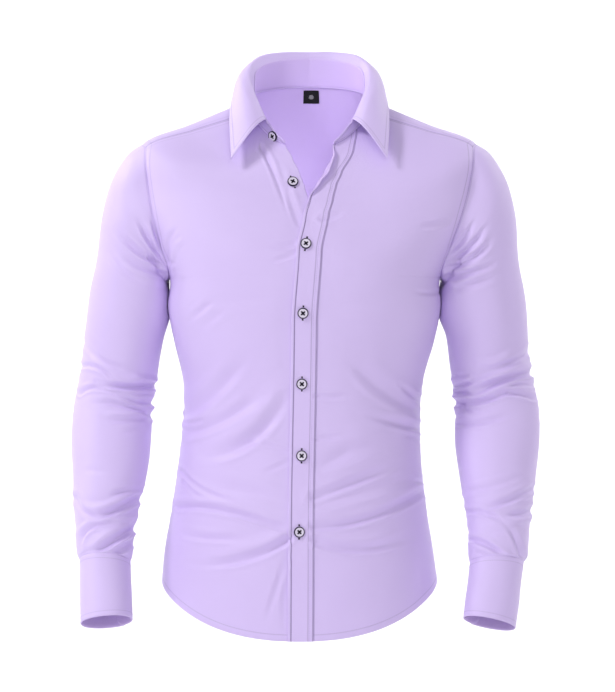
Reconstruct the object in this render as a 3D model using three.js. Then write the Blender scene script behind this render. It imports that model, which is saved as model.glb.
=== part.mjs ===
// Long sleeve dress shirt, slim cut, filled out as if worn, with its top two buttons undone.
// Millimetres, +Z up. The front faces -Y, and +X is the right hand side seen from the front.
// The origin is at the base of the neck, where the wearer's neck and shoulders carry the shirt.
import * as THREE from 'three';

// Cloth and seams
const CLOTH = 1.5;
const BAND_CLOTH = 1.2;
const SEAM_GAP = 0.3;
const LAP_CLEAR = 0.5;

// Front opening and its band. Over the two widths the right front sinks under the left one.
const BAND_WIDTH = 34;
const SINK_FROM = 26;
const SINK_TO = 3;

// Buttons
const BUTTON_DIAMETER = 13;
const BUTTON_THICK = 2.6;
const CUFF_BUTTON_DIAMETER = 11;
const BUTTON_SIDES = 12;
const SEAT_SLACK = 0.25;

// Collar
const STAND_CLOTH = 1.6;
const LEAF_CLOTH = 1.6;
const COLLAR_CENTRE = 1;

// Cuffs and the bound slits above them. The lapped end starts behind the outer side, and it is
// out of the way of the end below it from the middle of its rise on.
const CUFF_CLOTH = 1.8;
const CUFF_START_DEGREES = 250;
const CUFF_LAP_DEGREES = 34;
const CUFF_RISE_DEGREES = [250, 350];
const SLIT_BAND_ROWS = 5;

// Neck label
const LABEL_WIDTH = 20;
const LABEL_HEIGHT = 17;
const LABEL_CLOTH = 1;
const LABEL_CENTRE = 3.5;
const LABEL_TOP = 9;
const LABEL_GAP = 0.5;

// A quarter turn from the middle of the front, where the side seams run
const SIDE = Math.PI / 2;

// Rings of the body from the hem up to the neck seam. Each ring is a rounded oval.
// front, side, back: height of the ring at those places. bend: how fast it climbs between them.
// middle, half: centre and half width. chest, spine: depth ahead of and behind y = 0.
// square: 2 is an ellipse, more is boxier. arm: half distance between the armhole seams.
const BODY_COLUMNS = [
  'front', 'side', 'back', 'bend', 'middle', 'half', 'chest', 'spine', 'square', 'arm',
];
const BODY_ROWS = [
  [-713, -642, -724, 1.4, -12.0, 181.5, 113, 118, 2.3, 200],
  [-640, -602, -646, 1.6, -12.8, 177.0, 112, 117, 2.3, 200],
  [-572, -552, -574, 2.0, -12.4, 168.5, 110, 110, 2.3, 200],
  [-500, -493, -502, 2.0, -11.6, 160.8, 108, 99, 2.3, 200],
  [-440, -438, -442, 2.0, -9.4, 156.4, 107, 91, 2.3, 200],
  [-385, -385, -385, 2.0, -7.2, 157.2, 109, 92, 2.3, 200],
  [-330, -330, -330, 2.0, -6.2, 170.5, 115, 102, 2.5, 200],
  [-282, -282, -282, 2.0, -5.5, 179.4, 119, 110, 2.75, 200],
  [-246, -246, -246, 2.0, -5.0, 178.0, 119, 114, 3.1, 178],
  [-212, -203, -208, 2.0, -3.6, 198.0, 116, 116, 2.8, 189],
  [-182, -160, -168, 2.0, -1.8, 220.0, 110, 114, 2.7, 201],
  [-154, -118, -121, 2.0, 0.0, 226.0, 99, 108, 2.7, 210],
  [-126, -68, -80, 1.8, 1.2, 219.5, 84, 97, 3.0, 214],
  [-108, -42, -48, 1.5, 1.2, 158.0, 75, 88, 2.4, 200],
  [-92, -21, -16, 1.2, 1.0, 108.0, 68, 77, 2.1, 200],
  [-78, -7, 12, 1.0, 1.0, 78.5, 61, 66, 2.0, 200],
];
// Places of the named rings in that table
const HEM_RING = 0;
const PIT_RING = 8;
const YOKE_RING = 11;
const SHOULDER_RING = 12;
const NECK_RING = 15;
// Steps of the cloth between one ring and the next, from the hem up
const BODY_STEPS = [3, 2, 2, 2, 2, 2, 2, 2, 4, 2, 2, 2, 2, 2, 2];

// Front edges of the opening, from the hem up. height: at the middle of the front.
// under: edge of the right front. fold: edge of the left front, or the line it turns back on.
// turned: width of the left front that is turned back and shows its inside.
const EDGE_COLUMNS = ['height', 'under', 'fold', 'turned'];
const EDGE_ROWS = [
  [-760, 10.0, -26.8, 0],
  [-572, 9.0, -26.2, 0],
  [-300, 12.0, -22.0, 0],
  [-205, 13.0, -16.5, 0],
  [-165, 6.0, -8.5, 1],
  [-139, -1.5, -0.8, 4],
  [-122, -7.5, 7.5, 10],
  [-104, -14.0, 18.5, 13],
  [-88, -23.0, 29.5, 8],
  [-78, -30.5, 32.5, 3],
];
const TURN_RADIUS = 2.6;
const TURN_ANGLE = 2.6;

// Creases pressed into the cloth. from, to: where one runs in the front view.
// spread: half its width. depth: how far it sinks in, and less than zero is a ridge.
const CREASE_COLUMNS = ['x0', 'z0', 'x1', 'z1', 'spread', 'depth'];
const FRONT_CREASES = [
  [-168, -395, -60, -455, 13, 3.5],
  [-165, -452, -70, -520, 14, 3.5],
  [-160, -512, -75, -590, 14, 3.0],
  [-150, -560, -85, -625, 12, 2.5],
  [155, -395, 50, -450, 13, 3.5],
  [150, -448, 45, -505, 14, 3.5],
  [155, -500, 60, -560, 14, 3.0],
  [150, -552, 70, -590, 12, 2.5],
  [-176, -262, -120, -322, 12, 2.5],
  [165, -268, 105, -330, 12, 2.5],
];
const BACK_CREASES = [
  [-165, -400, -50, -430, 13, 3.5],
  [-165, -455, -60, -500, 14, 3.5],
  [-155, -520, -65, -560, 13, 3.0],
  [155, -400, 40, -435, 13, 3.5],
  [150, -450, 45, -492, 14, 3.5],
  [150, -512, 60, -556, 13, 3.0],
];

// Rings of the sleeves from the armhole to the cuff. outer and inner: the two sides in the
// front view, across and height. forward: how far the middle lies along y. deep: half depth.
const SLEEVE_COLUMNS = ['outerX', 'outerZ', 'innerX', 'innerZ', 'forward', 'deep', 'square'];
const RIGHT_SLEEVE_ROWS = [
  [-218.6, -72.6, -182.9, -242.9, 0, 62, 2.2],
  [-239.5, -87.0, -186.2, -248.5, 0, 64, 2.2],
  [-260.0, -118.0, -186.8, -257.0, 1, 65, 2.2],
  [-272.3, -161.0, -187.0, -269.0, 2, 64, 2.2],
  [-278.2, -213.9, -187.0, -283.0, 3, 62, 2.2],
  [-287.2, -260.0, -187.6, -299.0, 3, 60, 2.1],
  [-293.9, -302.3, -191.0, -320.0, 6, 57, 2.1],
  [-299.2, -345.9, -196.5, -350.0, 9, 54, 2.1],
  [-304.7, -385.6, -202.6, -383.0, 10, 52, 2.1],
  [-310.9, -421.3, -206.6, -416.0, 6, 51, 2.1],
  [-312.4, -464.5, -207.6, -458.0, -6, 50, 2.1],
  [-309.6, -503.4, -212.6, -499.5, -20, 47, 2.1],
  [-307.6, -542.0, -221.2, -539.4, -35, 44, 2.1],
  [-303.4, -574.0, -226.4, -572.0, -47, 41, 2.1],
  [-302.2, -600.0, -228.4, -602.0, -57, 39, 2.1],
  [-297.8, -612.0, -231.6, -614.0, -61.5, 36, 2.1],
];
const LEFT_SLEEVE_ROWS = [
  [221.0, -72.6, 172.1, -247.0, 0, 62, 2.2],
  [241.5, -87.0, 175.8, -252.0, 0, 64, 2.2],
  [261.2, -118.0, 176.0, -261.0, 1, 65, 2.2],
  [272.8, -161.0, 176.5, -273.3, 2, 64, 2.2],
  [276.0, -213.9, 176.6, -286.0, 3, 62, 2.2],
  [284.2, -260.0, 177.6, -300.0, 3, 60, 2.1],
  [289.3, -302.3, 181.4, -320.8, 6, 57, 2.1],
  [291.6, -345.9, 185.2, -348.5, 9, 54, 2.1],
  [298.8, -385.6, 190.2, -381.6, 10, 52, 2.1],
  [304.4, -421.3, 193.8, -417.3, 6, 51, 2.1],
  [303.0, -464.5, 193.4, -459.2, -6, 50, 2.1],
  [298.8, -503.4, 197.8, -502.1, -20, 47, 2.1],
  [293.0, -542.0, 203.4, -539.4, -35, 44, 2.1],
  [288.4, -574.0, 207.6, -572.0, -47, 41, 2.1],
  [284.8, -603.0, 207.6, -603.0, -58, 39, 2.1],
  [279.4, -616.0, 209.4, -615.0, -62.5, 36, 2.1],
];
const SLEEVE_STEPS = 2;
const ARMHOLE_BLEND_ROWS = 2.5;

// Creases of a sleeve. along: place in its table of rings. round: middle of the crease in
// degrees from the outer side, toward the front. turn: how much of the round it takes.
// spread: half width along the sleeve, in rings. slant: rings that it climbs over its length.
const SLEEVE_CREASE_COLUMNS = ['along', 'round', 'turn', 'spread', 'slant', 'depth'];
const SLEEVE_CREASES = [
  [3.0, 125, 75, 0.60, 0.6, 3.5],
  [5.2, 120, 60, 0.55, 0.5, 2.5],
  [8.2, 100, 90, 0.50, 0.5, 3.5],
  [9.6, 90, 95, 0.50, 0.5, 4.0],
  [11.8, 65, 80, 0.50, 0.5, 3.0],
  [13.0, 75, 90, 0.50, -0.4, 3.0],
  [3.2, 235, 70, 0.60, -0.6, 3.5],
  [8.6, 250, 90, 0.50, 0.5, 3.5],
  [9.9, 265, 90, 0.50, -0.5, 3.5],
  [12.4, 260, 90, 0.50, 0.4, 3.0],
];

// Cuffs: how far the lower edge of each lies from the end of its sleeve, across, along y and down,
// and its width and depth there as a share of the sleeve's end
const RIGHT_CUFF = { across: 4.0, forward: -28, down: -78, wide: 1.025, deep: 0.98 };
const LEFT_CUFF = { across: -11.0, forward: -28, down: -78, wide: 0.965, deep: 0.98 };
const CUFF_CLEAR = 0.012;

// Half of the collar, from the middle of the back to the tip. Across is from the middle.
// round: place of the stand's seam on the neck ring, in degrees from the middle of the back.
// top: where stand and leaf meet. roll: crest of the fold. edge: rim of the leaf.
const COLLAR_COLUMNS = [
  'round', 'topX', 'topY', 'topZ', 'rollX', 'rollY', 'rollZ', 'edgeX', 'edgeY', 'edgeZ',
];
const COLLAR_ROWS = [
  [0, 0, 60.0, 45.0, 0, 66.0, 58.0, 0, 98.0, 8.0],
  [24, 30, 55.0, 43.5, 34, 61.5, 57.5, 46, 94.0, 4.0],
  [45.5, 55, 41.0, 38.0, 63.0, 47.0, 52.5, 82, 70.0, -4.0],
  [65, 69, 24.0, 28.0, 77.0, 27.5, 41.5, 99, 40.0, -9.0],
  [86, 73, 3.0, 12.5, 80.0, 3.5, 26.0, 103.5, 8.0, -13.5],
  [104, 71, -17.5, -6.0, 75.5, -20.0, 7.5, 104.5, -25.0, -25.0],
  [120, 62.5, -34.5, -27.0, 66.5, -40.0, -15.5, 104, -56.0, -49.0],
  [133.5, 53.0, -47.5, -44.0, 57.0, -55.5, -38.5, 101, -84.0, -91.0],
];
const COLLAR_STEPS = 2;
const STAND_LIFT = 1;
// The stand runs on past the leaf to its rounded ends: round, topX, topY and topZ
const STAND_END_ROWS = [
  [147, 42.5, -56.0, -58.5],
  [156, 32.0, -61.0, -69.5],
];

// Front buttons. across, height: centre in the front view. lies: the piece under it.
const BUTTONS = [
  { name: 'button_open', across: -20.5, height: -122.0, lies: 'under' },
  { name: 'button_1', across: -3.4, height: -203.2, lies: 'band' },
  { name: 'button_2', across: -7.2, height: -291.7, lies: 'band' },
  { name: 'button_3', across: -9.8, height: -382.8, lies: 'band' },
  { name: 'button_4', across: -9.8, height: -475.2, lies: 'band' },
  { name: 'button_5', across: -12.4, height: -572.6, lies: 'band' },
];

// Colours and finishes
const LAVENDER = { color: 0xd8c8f2, roughness: 0.78, metalness: 0 };
const SHADED_LAVENDER = { color: 0xcdbbe9, roughness: 0.8, metalness: 0 };
const BUTTON_PLASTIC = { color: 0xe6dcf6, roughness: 0.3, metalness: 0 };
const LABEL_CLOTH_BLACK = { color: 0x17161a, roughness: 0.85, metalness: 0 };

const shirt = new THREE.Group();

// Smooth step from 0 at a to 1 at b
function ramp(a, b, value) {
  const t = Math.min(1, Math.max(0, (value - a) / (b - a)));
  return t * t * (3 - 2 * t);
}

function mix(a, b, t) {
  return a + (b - a) * t;
}

// A power of a sine or cosine that keeps its sign
function rounded(value, power) {
  return Math.sign(value) * Math.abs(value) ** power;
}

// Reads a table at a place between its rows, along smooth curves through them
function readTable(rows, columns, place) {
  const last = rows.length - 1;
  const at = Math.min(last, Math.max(0, place));
  const k = Math.min(last - 1, Math.floor(at));
  const t = at - k;
  const result = {};
  columns.forEach((column, c) => {
    const p1 = rows[k][c];
    const p2 = rows[k + 1][c];
    const p0 = k > 0 ? rows[k - 1][c] : 2 * p1 - p2;
    const p3 = k + 2 <= last ? rows[k + 2][c] : 2 * p2 - p1;
    const m1 = (p2 - p0) / 2;
    const m2 = (p3 - p1) / 2;
    const t2 = t * t;
    const t3 = t2 * t;
    result[column] = (2 * t3 - 3 * t2 + 1) * p1 + (t3 - 2 * t2 + t) * m1
      + (3 * t2 - 2 * t3) * p2 + (t3 - t2) * m2;
  });
  return result;
}

// The row of the opening's table at a height, with straight lines between its rows
function edgesAt(height) {
  let k = 0;
  while (k < EDGE_ROWS.length - 2 && height > EDGE_ROWS[k + 1][0]) k += 1;
  const share = (height - EDGE_ROWS[k][0]) / (EDGE_ROWS[k + 1][0] - EDGE_ROWS[k][0]);
  const t = Math.min(1, Math.max(0, share));
  const result = {};
  EDGE_COLUMNS.forEach((column, c) => {
    result[column] = mix(EDGE_ROWS[k][c], EDGE_ROWS[k + 1][c], ramp(0, 1, t) * 0.5 + t * 0.5);
  });
  return result;
}

// A point of the body. angle: 0 is the middle of the front, a quarter turn is the +X side.
function bodyPoint(place, angle) {
  const ring = readTable(BODY_ROWS, BODY_COLUMNS, place);
  const power = 2 / ring.square;
  const ahead = Math.cos(angle);
  const end = ahead > 0 ? ring.front : ring.back;
  const depth = ahead > 0 ? ring.chest : ring.spine;
  return new THREE.Vector3(
    ring.middle + ring.half * rounded(Math.sin(angle), power),
    -depth * rounded(ahead, power),
    ring.side + (end - ring.side) * Math.abs(ahead) ** ring.bend,
  );
}

// A point of a body panel, with the direction that the body faces there for the panel's seams
function clothPoint(place, angle) {
  const point = bodyPoint(place, angle);
  const across = bodyPoint(place, angle + 0.01).sub(bodyPoint(place, angle - 0.01));
  const up = bodyPoint(place + 0.01, angle).sub(bodyPoint(place - 0.01, angle));
  point.seamNormal = across.cross(up).normalize();
  return point;
}

// The angle on the front of a ring where the cloth is so far across
function angleAcross(place, across) {
  const ring = readTable(BODY_ROWS, BODY_COLUMNS, place);
  const share = (across - ring.middle) / ring.half;
  return Math.asin(Math.sign(share) * Math.min(1, Math.abs(share) ** (ring.square / 2)));
}

// The angle of the armhole seam on a ring, as a quarter turn or less
function armholeAngle(place) {
  const ring = readTable(BODY_ROWS, BODY_COLUMNS, place);
  return Math.asin(Math.min(1, (ring.arm / ring.half) ** (ring.square / 2)));
}

// Places of all the rows of cloth, from the hem to the neck
function bodyPlaces(first, last) {
  const places = [];
  for (let k = first; k < last; k += 1) {
    for (let s = 0; s < BODY_STEPS[k]; s += 1) places.push(k + s / BODY_STEPS[k]);
  }
  places.push(last);
  return places;
}

// How far creases that cross a point of the front view press it in
function creaseDepth(table, x, z) {
  let depth = 0;
  for (const row of table) {
    const c = {};
    CREASE_COLUMNS.forEach((column, k) => { c[column] = row[k]; });
    const length = Math.hypot(c.x1 - c.x0, c.z1 - c.z0);
    const ux = (c.x1 - c.x0) / length;
    const uz = (c.z1 - c.z0) / length;
    const along = ((x - c.x0) * ux + (z - c.z0) * uz) / length;
    const off = ((x - c.x0) * uz - (z - c.z0) * ux) / c.spread;
    const fade = ramp(-0.15, 0.3, along) * (1 - ramp(0.5, 1.1, along));
    depth += c.depth * fade * Math.exp(-off * off);
  }
  return depth;
}

function material(look) {
  return new THREE.MeshStandardMaterial(look);
}

function addMesh(name, vertices, triangles, look) {
  const geometry = new THREE.BufferGeometry();
  const positions = vertices.flatMap((v) => [v.x, v.y, v.z]);
  geometry.setAttribute('position', new THREE.Float32BufferAttribute(positions, 3));
  geometry.setIndex(triangles);
  geometry.computeVertexNormals();
  const mesh = new THREE.Mesh(geometry, material(look));
  mesh.name = name;
  shirt.add(mesh);
}

// The outer surface of a sheet: its used points, their normals and its rim.
// grid holds rows of points, outward faces have columns running left and rows running up.
function surfaceOf(grid, cells) {
  const index = new Map();
  const points = [];
  const seamNormals = [];
  const keyOf = (i, j) => i * 1000 + j;
  const idOf = ([i, j]) => {
    const key = keyOf(i, j);
    if (!index.has(key)) {
      index.set(key, points.length);
      points.push(grid[i][j].clone());
      seamNormals.push(grid[i][j].seamNormal);
    }
    return index.get(key);
  };
  const quads = cells.map((cell) => cell.map(idOf));
  const normals = points.map(() => new THREE.Vector3());
  const used = new Set();
  for (const [a, b, c, d] of quads) {
    const across = points[c].clone().sub(points[a]);
    const up = points[d].clone().sub(points[b]);
    const face = across.cross(up);
    [a, b, c, d].forEach((id) => normals[id].add(face));
    [[a, b], [b, c], [c, d], [d, a]].forEach(([p, q]) => used.add(`${p} ${q}`));
  }
  normals.forEach((normal) => normal.normalize());
  const sides = [...used].map((edge) => edge.split(' ').map(Number));
  const rim = sides.filter(([p, q]) => !used.has(`${q} ${p}`));
  rim.flat().forEach((id) => {
    if (seamNormals[id]) normals[id].copy(seamNormals[id]);
  });
  return { points, quads, normals, rim, index, keyOf };
}

// Draws the rim of a sheet in by half a seam gap, so that two pieces never touch
function drawIn(surface, distance) {
  const moves = surface.points.map(() => new THREE.Vector3());
  for (const [p, q] of surface.rim) {
    const along = surface.points[q].clone().sub(surface.points[p]).normalize();
    moves[p].add(surface.normals[p].clone().cross(along).normalize());
    moves[q].add(surface.normals[q].clone().cross(along).normalize());
  }
  surface.points.forEach((point, k) => {
    if (moves[k].lengthSq() > 0) point.addScaledVector(moves[k].normalize(), distance);
  });
}

// A wall of cloth. lift moves it out, thickness runs inward from there.
function addWall(name, grid, cells, look, thickness, lift = 0, gap = SEAM_GAP / 2) {
  const surface = surfaceOf(grid, cells);
  drawIn(surface, gap);
  const { points, quads, normals, rim } = surface;
  const outer = points.map((p, k) => p.clone().addScaledVector(normals[k], lift));
  const inner = points.map((p, k) => p.clone().addScaledVector(normals[k], lift - thickness));
  const n = points.length;
  const triangles = [];
  for (const [a, b, c, d] of quads) {
    triangles.push(a, b, c, a, c, d);
    triangles.push(a + n, c + n, b + n, a + n, d + n, c + n);
  }
  for (const [p, q] of rim) triangles.push(q, p, p + n, q, p + n, q + n);
  addMesh(name, [...outer, ...inner], triangles, look);
}

// All the cells of a grid between two rows and two columns
function cellsBetween(row0, row1, column0, column1) {
  const cells = [];
  for (let i = row0; i < row1; i += 1) {
    for (let j = column0; j < column1; j += 1) {
      cells.push([[i, j], [i, j + 1], [i + 1, j + 1], [i + 1, j]]);
    }
  }
  return cells;
}

// Moves each point of a grid along its normal by a depth worked out from its place
function pressGrid(grid, depthAt) {
  const cells = cellsBetween(0, grid.length - 1, 0, grid[0].length - 1);
  const surface = surfaceOf(grid, cells);
  grid.forEach((row, i) => row.forEach((point, j) => {
    const normal = surface.normals[surface.index.get(surface.keyOf(i, j))];
    point.addScaledVector(normal, -depthAt(point, i, j));
  }));
}

// Fades creases out toward the rim of a panel, so that its seams still meet
function rimFade(i, j, rows, columns) {
  return ramp(0, 3, Math.min(i, rows - 1 - i)) * ramp(0, 2, Math.min(j, columns - 1 - j));
}

// The outer edge angle of a front panel on one row: side seam, armhole, then shoulder seam
function frontSideAngle(place) {
  if (place <= PIT_RING) return SIDE;
  if (place <= SHOULDER_RING) return armholeAngle(place);
  return armholeAngle(SHOULDER_RING);
}

// Shares of a front's width where its columns stand, closer together near the opening
const FRONT_COLUMNS = [0, 5, 10, 17, 26, BAND_WIDTH];
const FRONT_SIDE_SHARES = [0.14, 0.3, 0.46, 0.62, 0.76, 0.89, 1];
const BAND_COLUMNS = FRONT_COLUMNS.length - 1;

// A front panel as rows of points from its opening edge to its side. side is -1 or +1.
function frontGrid(side) {
  return bodyPlaces(HEM_RING, NECK_RING).map((place) => {
    const height = readTable(BODY_ROWS, BODY_COLUMNS, place).front;
    const edges = edgesAt(height);
    const edge = side > 0 ? edges.fold - edges.turned : edges.under;
    const row = FRONT_COLUMNS.map((distance) => (
      clothPoint(place, angleAcross(place, edge + side * distance))
    ));
    const bandAngle = angleAcross(place, edge + side * BAND_WIDTH);
    const sideAngle = side * frontSideAngle(place);
    FRONT_SIDE_SHARES.forEach((share) => {
      row.push(clothPoint(place, mix(bandAngle, sideAngle, share)));
    });
    return row;
  });
}

// Turns the strip beside the left front's edge back on itself, so that its inside shows
function turnBack(grid) {
  grid.forEach((row, i) => {
    const place = bodyPlaces(HEM_RING, NECK_RING)[i];
    const edges = edgesAt(readTable(BODY_ROWS, BODY_COLUMNS, place).front);
    if (edges.turned < 0.5) return;
    const fold = bodyPoint(place, angleAcross(place, edges.fold));
    const inward = bodyPoint(place, angleAcross(place, edges.fold + BAND_WIDTH)).sub(fold).normalize();
    const up = bodyPoint(place + 0.05, angleAcross(place, edges.fold)).sub(fold).normalize();
    const outward = inward.clone().cross(up).normalize();
    row.forEach((point, j) => {
      const past = edges.turned - FRONT_COLUMNS[j];
      if (!(past > 0)) return;
      const angle = Math.min(past / TURN_RADIUS, TURN_ANGLE);
      const rest = past - angle * TURN_RADIUS;
      delete point.seamNormal;
      point.copy(fold);
      point.addScaledVector(inward, -TURN_RADIUS * Math.sin(angle) - rest * Math.cos(angle));
      point.addScaledVector(outward, TURN_RADIUS * (1 - Math.cos(angle)) + rest * Math.sin(angle));
    });
  });
}

// Fronts. The right one sinks under the left one where they lap.
const places = bodyPlaces(HEM_RING, NECK_RING);
const frontRows = places.length;
const frontColumns = FRONT_COLUMNS.length + FRONT_SIDE_SHARES.length;

function lapSink(point) {
  const overlap = edgesAt(point.z).fold;
  return (CLOTH + LAP_CLEAR) * ramp(overlap - SINK_FROM, overlap - SINK_TO, point.x);
}

function reversed(grid) {
  return grid.map((row) => [...row].reverse());
}

const rightFront = reversed(frontGrid(-1));
pressGrid(rightFront, (point, i, j) => {
  const fade = rimFade(i, j, frontRows, frontColumns);
  return creaseDepth(FRONT_CREASES, point.x, point.z) * fade + lapSink(point);
});
const leftFront = frontGrid(1);
pressGrid(leftFront, (point, i, j) => {
  const fade = rimFade(i, j, frontRows, frontColumns) * ramp(BAND_COLUMNS - 1, BAND_COLUMNS + 2, j);
  return creaseDepth(FRONT_CREASES, point.x, point.z) * fade;
});
turnBack(leftFront);
addWall('front_right', rightFront, cellsBetween(0, frontRows - 1, 0, frontColumns - 1), LAVENDER, CLOTH);
addWall('front_left', leftFront, cellsBetween(0, frontRows - 1, 0, frontColumns - 1), LAVENDER, CLOTH);

// Band of the left front, made from the front's own points and moved out
addWall('front_placket', leftFront, cellsBetween(0, frontRows - 1, 0, BAND_COLUMNS), LAVENDER,
  BAND_CLOTH, BAND_CLOTH + SEAM_GAP);

// Back and yoke share one grid that runs round the back from one shoulder seam to the other
const WING_STEPS = 4;
const BACK_STEPS = 14;
const wingAngle = armholeAngle(SHOULDER_RING);

function backAngle(place) {
  if (place <= PIT_RING) return SIDE;
  return Math.PI - armholeAngle(Math.min(place, SHOULDER_RING));
}

const backGrid = places.map((place) => {
  const row = [];
  const start = backAngle(place);
  for (let j = 0; j < WING_STEPS; j += 1) {
    row.push(clothPoint(place, mix(wingAngle, Math.PI - wingAngle, j / WING_STEPS)));
  }
  for (let j = 0; j <= BACK_STEPS; j += 1) {
    row.push(clothPoint(place, mix(start, 2 * Math.PI - start, j / BACK_STEPS)));
  }
  for (let j = 1; j <= WING_STEPS; j += 1) {
    row.push(clothPoint(place, mix(Math.PI + wingAngle, 2 * Math.PI - wingAngle, j / WING_STEPS)));
  }
  return row;
});
const backFirst = WING_STEPS;
const backLast = WING_STEPS + BACK_STEPS;
const yokeRow = bodyPlaces(HEM_RING, YOKE_RING).length - 1;
const shoulderRow = bodyPlaces(HEM_RING, SHOULDER_RING).length - 1;
const backSheet = backGrid.slice(0, yokeRow + 1).map((row) => row.slice(backFirst, backLast + 1));
pressGrid(backSheet, (point, i, j) => {
  const fade = rimFade(i, j, backSheet.length, backSheet[0].length);
  return creaseDepth(BACK_CREASES, point.x, point.z) * fade;
});
addWall('back', backSheet, cellsBetween(0, backSheet.length - 1, 0, BACK_STEPS), LAVENDER, CLOTH);
addWall('yoke', backGrid, [
  ...cellsBetween(yokeRow, shoulderRow, backFirst, backLast),
  ...cellsBetween(shoulderRow, frontRows - 1, 0, backLast + WING_STEPS),
], LAVENDER, CLOTH);

// The armhole of one side as a loop of points, from the armpit up the front and down the back
function armholeLoop(side) {
  const pitRow = bodyPlaces(HEM_RING, PIT_RING).length - 1;
  const loop = [];
  for (let i = pitRow; i <= shoulderRow; i += 1) {
    loop.push(bodyPoint(places[i], side * frontSideAngle(places[i])));
  }
  for (let j = 1; j <= WING_STEPS; j += 1) {
    loop.push(bodyPoint(SHOULDER_RING, side * mix(wingAngle, Math.PI - wingAngle, j / WING_STEPS)));
  }
  for (let i = shoulderRow - 1; i > pitRow; i -= 1) {
    loop.push(bodyPoint(places[i], side * backAngle(places[i])));
  }
  return loop;
}

// The frame of one ring of a sleeve: its middle, half width, half depth and axis
function ringFrame(table, place) {
  const ring = readTable(table, SLEEVE_COLUMNS, place);
  const middleAt = (row) => (
    new THREE.Vector3((row.outerX + row.innerX) / 2, row.forward, (row.outerZ + row.innerZ) / 2)
  );
  const before = middleAt(readTable(table, SLEEVE_COLUMNS, Math.max(0, place - 0.3)));
  const after = middleAt(readTable(table, SLEEVE_COLUMNS, Math.min(table.length - 1, place + 0.3)));
  const middle = middleAt(ring);
  const wide = new THREE.Vector3(ring.outerX - ring.innerX, 0, ring.outerZ - ring.innerZ).divideScalar(2);
  const axis = after.sub(before).normalize();
  const deep = axis.clone().cross(wide).normalize();
  if (deep.y > 0) deep.negate();
  deep.multiplyScalar(ring.deep);
  const normal = wide.clone().cross(deep).normalize();
  return { middle, wide, deep, normal, square: ring.square };
}

function ringPoint(frame, wide, deep, off = 0) {
  return frame.middle.clone().addScaledVector(frame.wide, wide).addScaledVector(frame.deep, deep)
    .addScaledVector(frame.normal, off);
}

// How far the creases of a sleeve press it in at a ring and an angle in degrees
function sleeveCrease(place, degrees) {
  let depth = 0;
  for (const row of SLEEVE_CREASES) {
    const c = {};
    SLEEVE_CREASE_COLUMNS.forEach((column, k) => { c[column] = row[k]; });
    let turn = degrees - c.round;
    if (turn > 180) turn -= 360;
    if (turn < -180) turn += 360;
    const along = turn / c.turn;
    const off = (place - c.along - c.slant * along) / c.spread;
    const fade = 1 - ramp(0.35, 0.75, Math.abs(along));
    depth += c.depth * fade * Math.exp(-off * off);
  }
  return depth;
}

// A sleeve as rings of points that run from the armhole's own loop into round rings
function sleeveGrid(table, side) {
  const loop = armholeLoop(side);
  const count = loop.length;
  const first = ringFrame(table, 0);
  const shares = loop.map((point) => {
    const from = point.clone().sub(first.middle);
    return [from.dot(first.wide) / first.wide.lengthSq(), from.dot(first.deep) / first.deep.lengthSq(),
      from.dot(first.normal)];
  });
  const grid = [];
  const rows = (table.length - 1) * SLEEVE_STEPS;
  for (let i = 0; i <= rows; i += 1) {
    const place = i / SLEEVE_STEPS;
    const frame = ringFrame(table, place);
    const round = ramp(0, ARMHOLE_BLEND_ROWS, place);
    const power = 2 / frame.square;
    grid.push(shares.map(([wide, deep, off], k) => {
      const angle = Math.PI * (1 - 2 * k / count);
      const roundWide = rounded(Math.cos(angle), power);
      const roundDeep = rounded(Math.sin(angle), power);
      const outOfRing = off * (1 - round);
      return ringPoint(frame, mix(wide, roundWide, round), mix(deep, roundDeep, round), outOfRing);
    }));
  }
  return grid;
}

// A cell of a tube between two of its columns, so that its outer face looks out
function tubeCell(i, j, k, side) {
  if (side < 0) return [[i, j], [i, k], [i + 1, k], [i + 1, j]];
  return [[i, k], [i, j], [i + 1, j], [i + 1, k]];
}

// Cells of a closed tube
function tubeCells(rows, count, side) {
  const cells = [];
  for (let i = 0; i < rows; i += 1) {
    for (let j = 0; j < count; j += 1) {
      const k = (j + 1) % count;
      cells.push(tubeCell(i, j, k, side));
    }
  }
  return cells;
}

function addSleeve(name, table, side) {
  const grid = sleeveGrid(table, side);
  const rows = grid.length - 1;
  const count = grid[0].length;
  const surface = surfaceOf(grid, tubeCells(rows, count, side));
  grid.forEach((ring, i) => ring.forEach((point, j) => {
    const degrees = 180 - 360 * j / count;
    const fade = ramp(0, 3, i) * ramp(0, 2, rows - i);
    const normal = surface.normals[surface.index.get(surface.keyOf(i, j))];
    point.addScaledVector(normal, -fade * sleeveCrease(i / SLEEVE_STEPS, (degrees + 360) % 360));
  }));
  addWall(name, grid, tubeCells(rows, count, side), LAVENDER, CLOTH);
  return grid;
}

const rightSleeve = addSleeve('sleeve_right', RIGHT_SLEEVE_ROWS, -1);
const leftSleeve = addSleeve('sleeve_left', LEFT_SLEEVE_ROWS, 1);

// Bound slit at the back of each sleeve, from one column of the sleeve's own points, moved out
const SLIT_COLUMN = 14;

function addSlitBand(name, grid, side) {
  const rows = grid.length - 1;
  const cells = [];
  for (let i = rows - SLIT_BAND_ROWS; i < rows; i += 1) {
    cells.push(tubeCell(i, SLIT_COLUMN, SLIT_COLUMN + 1, side));
  }
  addWall(name, grid, cells, SHADED_LAVENDER, BAND_CLOTH, BAND_CLOTH + SEAM_GAP);
}

addSlitBand('sleeve_placket_right', rightSleeve, -1);
addSlitBand('sleeve_placket_left', leftSleeve, 1);

// Cuffs are bands that lap over their own end
const CUFF_COLUMNS = 24;
const CUFF_STEPS = 3;

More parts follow.
